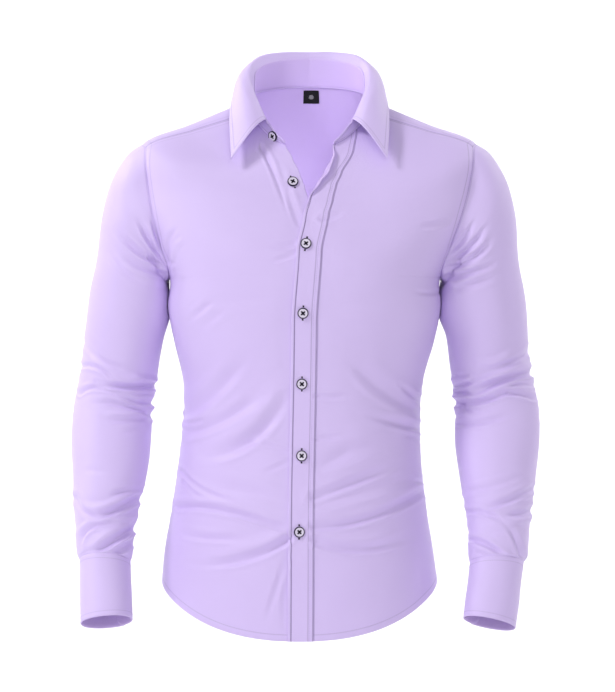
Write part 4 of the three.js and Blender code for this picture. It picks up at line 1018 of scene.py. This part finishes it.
yoke_points = round_back[yoke_row:]
cells = np.ones((yoke_points.shape[0] - 1, yoke_points.shape[1] - 1), bool)
shoulder_in_yoke = shoulder_row - yoke_row
cells[:shoulder_in_yoke, :wing] = False
cells[:shoulder_in_yoke, wing + back_columns - 1:] = False
arm_lines = [
    np.concatenate([yoke_points[:shoulder_in_yoke, wing], yoke_points[shoulder_in_yoke, wing::-1]]),
    np.concatenate([yoke_points[:shoulder_in_yoke, wing + back_columns - 1],
                    yoke_points[shoulder_in_yoke, wing + back_columns - 1:]]),
]
yoke_marks = {
    "arm": np.minimum(distance_to(yoke_points, arm_lines[0]), distance_to(yoke_points, arm_lines[1])),
    "yoke": np.minimum(distance_to(yoke_points, yoke_points[0, wing:wing + back_columns]), np.minimum(
        distance_to(yoke_points, yoke_points[shoulder_in_yoke:, 0]),
        distance_to(yoke_points, yoke_points[shoulder_in_yoke:, -1]))),
    "hem": np.full(yoke_points.shape[:2], 99.0),
}
yoke_normals = grid_normals(yoke_points)
yoke_points = pull_in_rim(yoke_points, yoke_normals, yoke_marks)
yoke = cloth_shell("yoke_panel", yoke_points, PANEL, CLOTH, mask=cells, marks=yoke_marks)

# Sleeves


def armhole_loop(side):
    """The armhole seam as evenly spaced points, from the armpit up the front and down the back."""
    front_places = places[pit_row:shoulder_row + 1]
    line = [body_point(p, side * front_side_angle(p)) for p in front_places]
    wings = spread(lambda a: body_point(SHOULDER_RING, a), wing_angle, math.pi - wing_angle, WING_SHARES[1:])
    line.extend(body_point(SHOULDER_RING, side * a) for a in wings)
    line.extend(body_point(p, side * back_side_angle(p)) for p in front_places[-2::-1])
    line = np.array(line)
    run = np.concatenate([[0], np.cumsum(np.linalg.norm(np.diff(line, axis=0), axis=1))])
    at = np.arange(SLEEVE_ROUND) / SLEEVE_ROUND * run[-1]
    return np.stack([np.interp(at, run, line[:, c]) for c in range(3)], 1)


def ring_frame(table, place):
    here = read_rows(table, place)
    middle_of = lambda r: np.array([(r[0] + r[2]) / 2, r[4], (r[1] + r[3]) / 2])
    before = middle_of(read_rows(table, max(0.0, place - 0.3)))
    after = middle_of(read_rows(table, min(len(table) - 1.0, place + 0.3)))
    wide = np.array([here[0] - here[2], 0, here[1] - here[3]]) / 2
    deep = unit(np.cross(unit(after - before), wide))
    if deep[1] > 0:
        deep = -deep
    deep = deep * here[5]
    return middle_of(here), wide, deep, unit(np.cross(wide, deep)), here[6]


def sleeve_grid(table, side):
    loop = armhole_loop(side)
    middle, wide, deep, normal, _ = ring_frame(table, 0.0)
    off = loop - middle
    shares = np.stack([off @ wide / (wide @ wide), off @ deep / (deep @ deep), off @ normal], 1)
    turn = math.pi * (1 - 2 * np.arange(SLEEVE_ROUND) / SLEEVE_ROUND)
    count = (len(table) - 1) * SLEEVE_RING_STEPS
    steps = np.concatenate([[0, 0.02, 0.045], np.arange(1, count + 1) / SLEEVE_RING_STEPS])
    rings = []
    for place in steps:
        middle, wide, deep, normal, square = ring_frame(table, place)
        blend = float(ramp(0, ARMHOLE_BLEND_RINGS, place))
        across = shares[:, 0] * (1 - blend) + rounded(np.cos(turn), 2 / square) * blend
        ahead = shares[:, 1] * (1 - blend) + rounded(np.sin(turn), 2 / square) * blend
        out = shares[:, 2] * (1 - blend)
        rings.append(middle + across[:, None] * wide + ahead[:, None] * deep + out[:, None] * normal)
    rings = np.array(rings)
    return rings if side < 0 else rings[:, ::-1]


# Where the sleeve lies beside the body: from across, and between two heights
BESIDE_BODY_ACROSS = 140
BESIDE_SLEEVE_ACROSS = 205
BESIDE_BODY_HEIGHTS = (-345, -235)
BESIDE_SLEEVE_HEIGHTS = (-340, -236)


def keep_beside(points, side):
    """Flattens the inner side of the sleeve where it lies against the body."""
    body = []
    facing = []
    for panel in (left_front if side > 0 else right_front, back_points):
        low, high = BESIDE_BODY_HEIGHTS
        near = (panel[..., 0] * side > BESIDE_BODY_ACROSS) & (panel[..., 2] > low) & (panel[..., 2] < high)
        body.append(panel[near])
        facing.append(grid_normals(panel)[near])
    body, facing = np.concatenate(body), np.concatenate(facing)
    low, high = BESIDE_SLEEVE_HEIGHTS
    near = (points[..., 0] * side < BESIDE_SLEEVE_ACROSS) & (points[..., 2] > low) & (points[..., 2] < high)
    near[:3] = False
    chosen = points[near]
    for _ in range(2):
        closest = np.concatenate([
            np.argmin(((part[:, None] - body[None]) ** 2).sum(2), axis=1)
            for part in np.array_split(chosen, 12)])
        out = ((chosen - body[closest]) * facing[closest]).sum(1)
        push = np.maximum(BODY_CLEAR + CLOTH - out, 0)
        chosen = chosen + facing[closest] * push[:, None]
    points = points.copy()
    points[near] = chosen
    return points


def add_sleeve(name, table, side):
    points = sleeve_grid(table, side)
    shape = points.shape[:2]
    fade = edge_fade(shape, rows_low=10, rows_high=5)
    points = press(points, SLEEVE_FOLDS, 1, fade, closed=True)
    points = press(points, SLEEVE_BACK_FOLDS, -1, fade, closed=True)
    normals = grid_normals(points, True)
    points = points - normals * (ripple(points, 6 + side, 80, 0.4) * fade)[..., None]
    points = keep_beside(points, side)
    run = np.linalg.norm(np.diff(points, axis=0), axis=2).mean(1)
    marks = {"arm": np.broadcast_to(np.concatenate([[0], np.cumsum(run)])[:, None], shape).copy()}
    points = points - grid_normals(points, True) * (0.25 * np.exp(-(marks["arm"] / 1.6) ** 2))[..., None]
    return points, cloth_shell(name, points, SLEEVE, CLOTH, closed=True, marks=marks)


right_sleeve_points, sleeve_right = add_sleeve("sleeve_right_panel", RIGHT_SLEEVE, -1)
left_sleeve_points, sleeve_left = add_sleeve("sleeve_left_panel", LEFT_SLEEVE, 1)

# Bound slits above the cuffs
SLIT_ROWS = 44
SLIT_COLUMNS = 7


def add_slit(name, points):
    turn = points - points.mean(1, keepdims=True)
    last = turn[-1]
    rearmost = int(np.argmax(last[:, 1] + 0.35 * last[:, 0] * np.sign(points[-1, 0, 0])))
    first = rearmost - SLIT_COLUMNS // 2
    strip = points[-SLIT_ROWS:, first:first + SLIT_COLUMNS]
    normals = grid_normals(points, True)[-SLIT_ROWS:, first:first + SLIT_COLUMNS]
    run = np.concatenate([[0], np.cumsum(np.linalg.norm(np.diff(strip[0], axis=0), axis=1))])
    marks = {"rim": np.broadcast_to(np.minimum(run, run[-1] - run)[None, :] + 4.4, strip.shape[:2]).copy()}
    return cloth_shell(name, strip, CUFF, 0.8, lift=0.85, marks=marks, normals=normals)


slit_right = add_slit("sleeve_placket_right_band", right_sleeve_points)
slit_left = add_slit("sleeve_placket_left_band", left_sleeve_points)

# Cuffs
CUFF_ROWS = 34
CUFF_COLUMNS = 130
CUFF_CLEAR = 0.005


def cuff_grid(table, cuff, side):
    middle, wide, deep, normal, square = ring_frame(table, len(table) - 1.0)
    drop = np.array([cuff["across"], cuff["forward"], cuff["down"]])
    turn = np.linspace(0, 360 + CUFF_LAP_DEGREES, CUFF_COLUMNS + 1)
    angle = np.radians(CUFF_START_DEGREES - turn)
    out = (CUFF_CLOTH + CUFF_LAP_CLEAR) * ramp(CUFF_RISE_DEGREES[0], CUFF_RISE_DEGREES[1], turn)
    across, ahead = rounded(np.cos(angle), 2 / square), rounded(np.sin(angle), 2 / square)
    run = turn / 360 * 240
    from_end = np.minimum(run, run[-1] - run)
    inside = np.clip(CUFF_CORNER - from_end, 0, CUFF_CORNER)
    corner = CUFF_CORNER - np.sqrt(np.maximum(0, CUFF_CORNER**2 - inside**2))
    rows = []
    for i in range(CUFF_ROWS + 1):
        share = CUFF_CLEAR + (1 - CUFF_CLEAR) * i / CUFF_ROWS * (1 - corner / CUFF_HEIGHT)
        share = share[:, None]
        point = (middle + drop * share + across[:, None] * wide * (1 + (cuff["wide"] - 1) * share)
                 + ahead[:, None] * deep * (1 + (cuff["deep"] - 1) * share))
        point = point + unit(point - middle - drop * share) * out[:, None]
        lean = (cuff["lift"] + cuff["tilt"] * across + cuff["nod"] * ahead) * ramp(0.1, 1, share[:, 0])
        rows.append(point + lean[:, None] * np.array([0, 0, 1.0]))
    points = np.array(rows)
    return points if side < 0 else points[:, ::-1]


def add_cuff(name, table, cuff, side):
    points = cuff_grid(table, cuff, side)
    points = points - grid_normals(points) * (ripple(points, 11 + side, 60, 0.25))[..., None]
    rim_line = np.concatenate([points[0], points[1:, -1], points[-1, ::-1], points[::-1, 0]])
    marks = {"rim": distance_to(points, rim_line)}
    piece = cloth_shell(name, points, CUFF, CUFF_CLOTH, marks=marks)
    return points, marks["rim"], piece


right_cuff_points, right_cuff_rim, cuff_right = add_cuff("cuff_right_band", RIGHT_SLEEVE, RIGHT_CUFF, -1)
left_cuff_points, left_cuff_rim, cuff_left = add_cuff("cuff_left_band", LEFT_SLEEVE, LEFT_CUFF, 1)

# Collar


def stand_foot(round_degrees, side, top):
    seam = body_point(float(NECK_RING), side * (math.pi - math.radians(round_degrees)))
    return seam + unit(top - seam) * STAND_LIFT


def collar_station(place):
    side = 1.0 if place >= 0 else -1.0
    row = read_rows(COLLAR_ROWS, abs(place))
    point = lambda k: np.array([COLLAR_CENTRE + side * row[k], row[k + 1], row[k + 2]])
    top = point(1)
    return stand_foot(row[0], side, top), top, point(4), point(7)


half_collar = len(COLLAR_ROWS) - 1
collar_places = np.linspace(-half_collar, half_collar, 2 * half_collar * COLLAR_FINE + 1)


def leaf_grid():
    columns = []
    for place in collar_places:
        _, top, roll, edge = collar_station(place)
        fall = edge - roll
        along = collar_station(place - 0.1)[2] - collar_station(place + 0.1)[2]
        outward = unit(np.cross(fall, along))
        column = [top, top + (roll - top) * 0.55 - outward * 2.2, roll]
        column.extend(roll + fall * share + outward * LEAF_BOW * math.sin(math.pi * share**0.7)
                      for share in LEAF_SHARES)
        columns.append(column)
    control = np.array(columns).swapaxes(0, 1)
    rows = control.shape[0]
    steps = np.concatenate([np.linspace(0, 2, 13)[:-1], np.linspace(2, 3, 9)[:-1], np.linspace(3, rows - 1, 27)])
    return read_rows(control.reshape(rows, -1), steps).reshape(len(steps), -1, 3)


leaf_points = leaf_grid()
leaf_rim_line = np.concatenate([leaf_points[14:, 0], leaf_points[-1], leaf_points[:13:-1, -1]])
leaf_marks = {"rim": distance_to(leaf_points, leaf_rim_line)}
leaf = cloth_shell("collar_leaf_cloth", leaf_points, COLLAR, LEAF_CLOTH, marks=leaf_marks)


def stand_grid():
    stations = []
    fine = []
    ends = [np.array([r, x, y, z], float) for r, x, y, z in STAND_END_ROWS]
    last = np.array([COLLAR_ROWS[-1][0], *COLLAR_ROWS[-1][1:4]])
    before = np.array([COLLAR_ROWS[-2][0], *COLLAR_ROWS[-2][1:4]])
    table = np.array([before, last, *ends])
    for t in np.linspace(1, 3, 25)[1:]:
        fine.append(read_rows(table, t))
    for r, x, y, z in fine[::-1]:
        top = np.array([COLLAR_CENTRE + x, y, z])
        stations.append((stand_foot(r, 1, top), top))
    for place in collar_places[::-1]:
        foot, top, _, _ = collar_station(place)
        stations.append((foot, top))
    for r, x, y, z in fine:
        top = np.array([COLLAR_CENTRE - x, y, z])
        stations.append((stand_foot(r, -1, top), top))
    foot = np.array([s[0] for s in stations])
    top = np.array([s[1] for s in stations])
    shares = np.linspace(0, 1, 15)[:, None, None]
    return foot + (top - foot) * shares


stand_points = stand_grid()
stand_rim_line = np.concatenate([stand_points[0], stand_points[:, -1], stand_points[-1, ::-1], stand_points[::-1, 0]])
stand_marks = {"rim": distance_to(stand_points, stand_rim_line)}
stand = cloth_shell("collar_stand_cloth", stand_points, STAND, STAND_CLOTH, marks=stand_marks)

# Tape rolled over the neck seam inside
stand_normals = grid_normals(stand_points)
NECK_TAPE_COLUMNS = slice(40, -40)
tape_line = (stand_points[0] + unit(stand_points[2] - stand_points[0]) * 0.9
             - stand_normals[0] * (STAND_CLOTH + 0.5))[NECK_TAPE_COLUMNS]
tape_facing = -stand_normals[0][NECK_TAPE_COLUMNS]
tape = [(tape_line[i], tape_line[i + 4], tape_facing[i]) for i in range(0, len(tape_line) - 4, 2)]

# Stitching
stitches = []
for points, normals, marks, axis in (
        (right_front, right_normals, right_marks, 1), (left_front, left_normals, left_marks, 1)):
    for level in (2.0, 8.5):
        line, facing = level_line(points[pit_row + 2:shoulder_row], normals[pit_row + 2:shoulder_row],
                                  marks["arm"][pit_row + 2:shoulder_row], level, 1)
        stitches += stitches_along(line, facing)
hem_threads = []
for points, marks in ((right_front, right_marks), (left_front, left_marks), (back_points, back_marks)):
    line, facing = level_line(points[:12], grid_normals(points)[:12], marks["hem"][:12], 8.0, 0)
    hem_threads += stitches_along(line, facing)
add_threads("stitching_hem", hem_threads, 0.24, THREAD)
add_threads("stitching_armholes", stitches, 0.24, THREAD)

band_threads = []
for distance in (4.0, 28.0):
    column = int(np.argmin(np.abs(BAND_STEPS - distance)))
    line = band_points[:, column] + left_normals[:, column] * (BAND_CLOTH + 0.05)
    band_threads += stitches_along(line, left_normals[:, column])
add_threads("stitching_placket", band_threads, 0.24, THREAD)

cuff_threads = []
for points, rim in ((right_cuff_points, right_cuff_rim), (left_cuff_points, left_cuff_rim)):
    normals = grid_normals(points)
    for band in (slice(0, CUFF_ROWS // 2), slice(CUFF_ROWS // 2, CUFF_ROWS + 1)):
        line, facing = level_line(points[band], normals[band], rim[band], 6.2, 0)
        cuff_threads += stitches_along(line, facing)
add_threads("stitching_cuffs", cuff_threads, 0.24, THREAD)

collar_threads = []
leaf_normals = grid_normals(leaf_points)
line, facing = level_line(leaf_points[20:], leaf_normals[20:], leaf_marks["rim"][20:], 5.0, 0)
collar_threads += stitches_along(line, facing)
for band in (slice(0, 7), slice(8, 15)):
    line, facing = level_line(stand_points[band], stand_normals[band], stand_marks["rim"][band], 2.0, 0)
    collar_threads += stitches_along(line, facing)
add_threads("stitching_collar", collar_threads, 0.24, THREAD)

# Buttons


def deselect():
    bpy.ops.object.select_all(action="DESELECT")


def make_button():
    """A dished disc with a raised rim and four holes."""
    deselect()
    r = BUTTON_DIAMETER / 2 * METRES
    bpy.ops.mesh.primitive_cylinder_add(vertices=64, radius=r, depth=BUTTON_DEPTH * METRES)
    piece = bpy.context.active_object
    bpy.ops.object.mode_set(mode="EDIT")
    bpy.ops.mesh.select_mode(type="FACE")
    bpy.ops.mesh.select_all(action="DESELECT")
    bpy.ops.object.mode_set(mode="OBJECT")
    for face in piece.data.polygons:
        face.select = face.normal.z > 0.9
    bpy.ops.object.mode_set(mode="EDIT")
    for width, rise in BUTTON_STEPS:
        bpy.ops.mesh.inset(thickness=width * METRES, depth=rise * METRES)
    bpy.ops.object.mode_set(mode="OBJECT")
    bevel = piece.modifiers.new("soft_rim", "BEVEL")
    bevel.width = 0.32 * METRES
    bevel.segments = 3
    bevel.limit_method = "ANGLE"
    bpy.ops.object.modifier_apply(modifier="soft_rim")
    for dx in (-1, 1):
        for dy in (-1, 1):
            deselect()
            bpy.ops.mesh.primitive_cylinder_add(
                vertices=20, radius=BUTTON_HOLE_RADIUS * METRES, depth=6 * METRES,
                location=(dx * BUTTON_HOLE * METRES, dy * BUTTON_HOLE * METRES, 0))
            drill = bpy.context.active_object
            cut = piece.modifiers.new("hole", "BOOLEAN")
            cut.object = drill
            cut.operation = "DIFFERENCE"
            cut.solver = "EXACT"
            deselect()
            piece.select_set(True)
            bpy.context.view_layer.objects.active = piece
            bpy.ops.object.modifier_apply(modifier="hole")
            bpy.data.objects.remove(drill)
    bpy.ops.object.shade_smooth_by_angle(angle=math.radians(38))
    return piece


pattern = make_button()
pattern.data.materials.append(BUTTON_FACE)
pattern.data.materials.append(BUTTON_RIM)
for face in pattern.data.polygons:
    reach = math.hypot(face.center.x, face.center.y)
    outer = reach > (BUTTON_DIAMETER / 2 - BUTTON_RIM_WIDTH) * METRES
    face.material_index = 1 if outer or face.center.z < -0.4 * METRES else 0


def place_button(name, seat, facing, up, scale):
    """A button that faces along a direction, with its sewing thread crossed in its holes."""
    facing = unit(facing)
    across = unit(np.cross(up, facing))
    upward = np.cross(facing, across)
    mesh = pattern.data.copy()
    turn = Matrix(np.stack([across, upward, facing], 1).tolist()).to_4x4()
    centre = (seat + facing * 1.15 * scale) * METRES
    mesh.transform(Matrix.Translation(Vector(centre)) @ turn @ Matrix.Scale(scale, 4))
    mesh.update()
    piece = link(mesh, name + "_disc")
    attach(piece, "root")
    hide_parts(name)
    low = seat + facing * 2.1 * scale
    hole = (BUTTON_HOLE + 0.5) * scale
    segments = []
    for sx, sy in ((1, 1), (1, -1)):
        for shift in (-0.55, 0.0, 0.55):
            side = across * sx * 0.5 - upward * sy * 0.5
            a = low + across * hole * sx + upward * hole * sy + unit(side) * shift
            b = low - across * hole * sx - upward * hole * sy + unit(side) * shift
            segments.append((a, b, facing))
    return segments


def surface_at(points, normals, across, height):
    away = np.hypot(points[..., 0] - across, points[..., 2] - height)
    away[:3] = 1e9
    i, j = np.unravel_index(np.argmin(away), away.shape)
    p, n = points[i, j], normals[i, j]
    offset = (across - p[0]) * n[0] + (height - p[2]) * n[2]
    up = unit(points[min(i + 3, len(points) - 1), j] - points[i - 3, j])
    return np.array([across, p[1] - offset / n[1], height]), n, up


button_threads = []
hole_threads = []
bar_threads = []
HOLE_LENGTH = 15.5
HOLE_WIDTH = 2.4


def buttonhole(seat, facing, up):
    """A stitched buttonhole: close crosswise threads on both sides. The bars at its ends come from end_bars."""
    across = unit(np.cross(up, facing))
    upward = np.cross(facing, across)
    made = []
    for at in np.arange(-HOLE_LENGTH / 2, HOLE_LENGTH / 2 + 0.01, 0.5):
        for side in (-1, 1):
            a = seat + upward * at + across * side * 0.25
            b = seat + upward * (at + 0.12) + across * side * HOLE_WIDTH / 2
            made.append((a, b, facing))
    return made


def end_bars(seat, facing, up):
    """Dark bars sewn across both ends of a buttonhole."""
    across = unit(np.cross(up, facing))
    upward = np.cross(facing, across)
    made = []
    for end in (-1, 1):
        for at in (0.2, 0.7, 1.2, 1.7):
            middle = seat + upward * end * (HOLE_LENGTH / 2 + at)
            made.append((middle - across * HOLE_WIDTH / 2, middle + across * HOLE_WIDTH / 2, facing))
    return made


for name, across, height, below in BUTTONS:
    if below == "band":
        seat, facing, up = surface_at(band_points[:, :20], left_normals[:, :20],
                                      across, height)
        seat = seat + facing * (BAND_CLOTH + 0.05)
        hole_threads += buttonhole(seat + facing * 0.05, facing, up)
        bar_threads += end_bars(seat + facing * 0.1, facing, up)
        seat = seat + facing * 0.25
    else:
        seat, facing, up = surface_at(right_front, right_normals, across, height)
        bar_threads += end_bars(seat + facing * 0.1, facing, up)
        seat = seat + facing * BUTTON_SEAT
    button_threads += place_button(name, seat, facing, up, 1.0)

middle_row = round(stand_points.shape[0] * 0.3)
stand_column = stand_points.shape[1] - 1 - 24
column = stand_column + 8
standing = unit(stand_points[-1, column] - stand_points[0, column])
facing = stand_normals[middle_row, column]
seat = stand_points[middle_row, column] + facing * BUTTON_SEAT
button_threads += place_button("button_stand", seat, facing, standing, 1.0)

for name, points, side in (
        ("cuff_button_right", right_cuff_points, -1), ("cuff_button_left", left_cuff_points, 1)):
    normals = grid_normals(points)
    column = points.shape[1] - 1 - 7 if side < 0 else 7
    row = CUFF_ROWS // 2
    up = unit(points[row - 3, column] - points[row + 3, column])
    scale = CUFF_BUTTON_DIAMETER / BUTTON_DIAMETER
    facing = normals[row, column]
    seat = points[row, column] + facing * BUTTON_SEAT
    button_threads += place_button(name, seat, facing, up, scale)
add_threads("button_threads", button_threads, 0.6, DARK_THREAD)
add_threads("neck_seam_tape", tape, 0.85, COLLAR)
add_threads("buttonhole_threads", hole_threads, 0.2, THREAD)
add_threads("buttonhole_end_bars", bar_threads, 0.42, DARK_THREAD)
bpy.data.objects.remove(pattern)

# Neck label
LABEL_CENTRE = 3.5
LABEL_WIDTH = 20.0
LABEL_TOP = 9.0
LABEL_HEIGHT = 17.0
LABEL_RING_RISE = 28.0
label_rows = []
label_ring = body_ring(float(NECK_RING))
for i in range(15):
    height = LABEL_TOP - LABEL_HEIGHT * (1 - i / 14)
    place = NECK_RING - (label_ring["back"] - height) / LABEL_RING_RISE
    ring = body_ring(place)
    across = LABEL_CENTRE + LABEL_WIDTH * (0.5 - np.arange(17) / 16)
    label_rows.append(body_point(place, math.pi - np.arcsin((across - ring["middle"]) / ring["half"])))
label_points = np.array(label_rows)
label_marks = {"rim": np.full(label_points.shape[:2], 50.0)}
label = cloth_shell("neck_label_cloth", label_points, LABEL, 0.5, lift=-CLOTH - 0.3,
                    marks=label_marks)
label_in = -grid_normals(label_points)
label_face = label_points + label_in * (CLOTH + 0.82)
mark_threads = []
for i, j0, j1 in ((5, 6, 10), (6, 5, 11), (7, 5, 11), (8, 5, 11), (9, 6, 10)):
    mark_threads.append((label_face[i, j0], label_face[i, j1], label_in[i, 8]))
add_threads("neck_label_mark", mark_threads, 0.28, LABEL_MARK)

for piece, nodes in (
        (front_right, ("front_right",)), (front_left, ("front_left",)), (placket, ("front_placket",)),
        (back, ("back",)), (yoke, ("yoke",)), (sleeve_right, ("sleeve_right",)), (sleeve_left, ("sleeve_left",)),
        (slit_right, ("sleeve_placket_right",)), (slit_left, ("sleeve_placket_left",)),
        (cuff_right, ("cuff_right",)), (cuff_left, ("cuff_left",)), (leaf, ("collar_leaf",)),
        (stand, ("collar_stand",)), (label, ("neck_label",))):
    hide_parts(*nodes)

# Floor and light
FLOOR_HEIGHT = -0.86
bpy.ops.object.select_all(action="DESELECT")
backdrop_rows = [(-5.0, FLOOR_HEIGHT), (1.6, FLOOR_HEIGHT)]
for k in range(1, 9):
    turn = k / 8 * math.pi / 2
    backdrop_rows.append((1.6 + 1.2 * math.sin(turn), FLOOR_HEIGHT + 1.2 * (1 - math.cos(turn))))
backdrop_rows.append((2.8, 5.0))
vertices = [(x, y, z) for y, z in backdrop_rows for x in (-6.0, 6.0)]
faces = [(2 * k, 2 * k + 1, 2 * k + 3, 2 * k + 2) for k in range(len(backdrop_rows) - 1)]
mesh = bpy.data.meshes.new("backdrop")
mesh.from_pydata(vertices, [], faces)
mesh.polygons.foreach_set("use_smooth", np.ones(len(mesh.polygons), bool))
backdrop = link(mesh, "backdrop")
paper = plain_material("backdrop_paper", (0.95, 0.95, 0.955, 1), 0.85, 3, 0.0002, 0.1, 0.02)
one_sided = Shading(paper.node_tree)
face_or_back = one_sided.node("ShaderNodeMixShader")
one_sided.put(face_or_back.inputs[0], one_sided.node("ShaderNodeNewGeometry").outputs["Backfacing"])
one_sided.put(face_or_back.inputs[1], paper.node_tree.nodes["Principled BSDF"].outputs[0])
one_sided.put(face_or_back.inputs[2], one_sided.node("ShaderNodeBsdfTransparent").outputs[0])
one_sided.put(paper.node_tree.nodes["Material Output"].inputs["Surface"], face_or_back.outputs[0])
backdrop.data.materials.append(paper)


def area_light(name, location, size, power, colour, aim):
    data = bpy.data.lights.new(name, "AREA")
    data.shape = "DISK"
    data.size = size
    data.energy = power
    data.color = colour
    lamp = bpy.data.objects.new(name, data)
    bpy.context.scene.collection.objects.link(lamp)
    lamp.location = location
    lamp.rotation_euler = (Vector(aim) - Vector(location)).to_track_quat("-Z", "Y").to_euler()


# Lamps: name, place in metres, width in metres, power in watts, colour, where each points
WHITE = (1.0, 1.0, 1.0)
SHIRT_MIDDLE = (0, 0, -0.33)
WALL_MIDDLE = (0, 2.8, 0.2)
LAMPS = (
    ("key", (-2.8, -1.7, 2.4), 1.1, 87, (0.99, 0.99, 1.0), SHIRT_MIDDLE),
    ("front", (0.5, -3.2, 0.5), 0.8, 15, WHITE, SHIRT_MIDDLE),
    ("inside", (-0.03, -0.03, -0.19), 0.09, 0.17, WHITE, (0.09, 0.08, 0.0)),
    ("wall_left", (-2.4, 0.9, 1.6), 1.6, 48, WHITE, WALL_MIDDLE),
    ("wall_right", (2.4, 0.9, 1.6), 1.6, 48, WHITE, WALL_MIDDLE),
)
for lamp_values in LAMPS:
    area_light(*lamp_values)
world = bpy.data.worlds.new("studio")
world.use_nodes = True
sky = Shading(world.node_tree)
way = sky.node("ShaderNodeSeparateXYZ")
sky.put(way.inputs[0], sky.node("ShaderNodeTexCoord").outputs["Generated"])
from_front = sky.math("MAXIMUM", sky.math("MULTIPLY_ADD", way.outputs[1], -0.40, 0.26), 0.05)
sky.put(world.node_tree.nodes["Background"].inputs["Color"], (1.0, 1.0, 1.0, 1))
sky.put(world.node_tree.nodes["Background"].inputs["Strength"], from_front)
bpy.context.scene.view_settings.view_transform = "Standard"
bpy.context.scene.world = world

camera_data = bpy.data.cameras.new("camera")
camera = bpy.data.objects.new("camera", camera_data)
bpy.context.scene.collection.objects.link(camera)
camera.location = (EYE_ACROSS * METRES, -EYE_AWAY * METRES, EYE_HEIGHT * METRES)
camera.rotation_euler = (math.pi / 2, 0, 0)
camera_data.sensor_width = 36.0
camera_data.lens = 36.0 * EYE_AWAY / (PICTURE_HEIGHT * MM_A_PIXEL)
bpy.context.scene.camera = camera
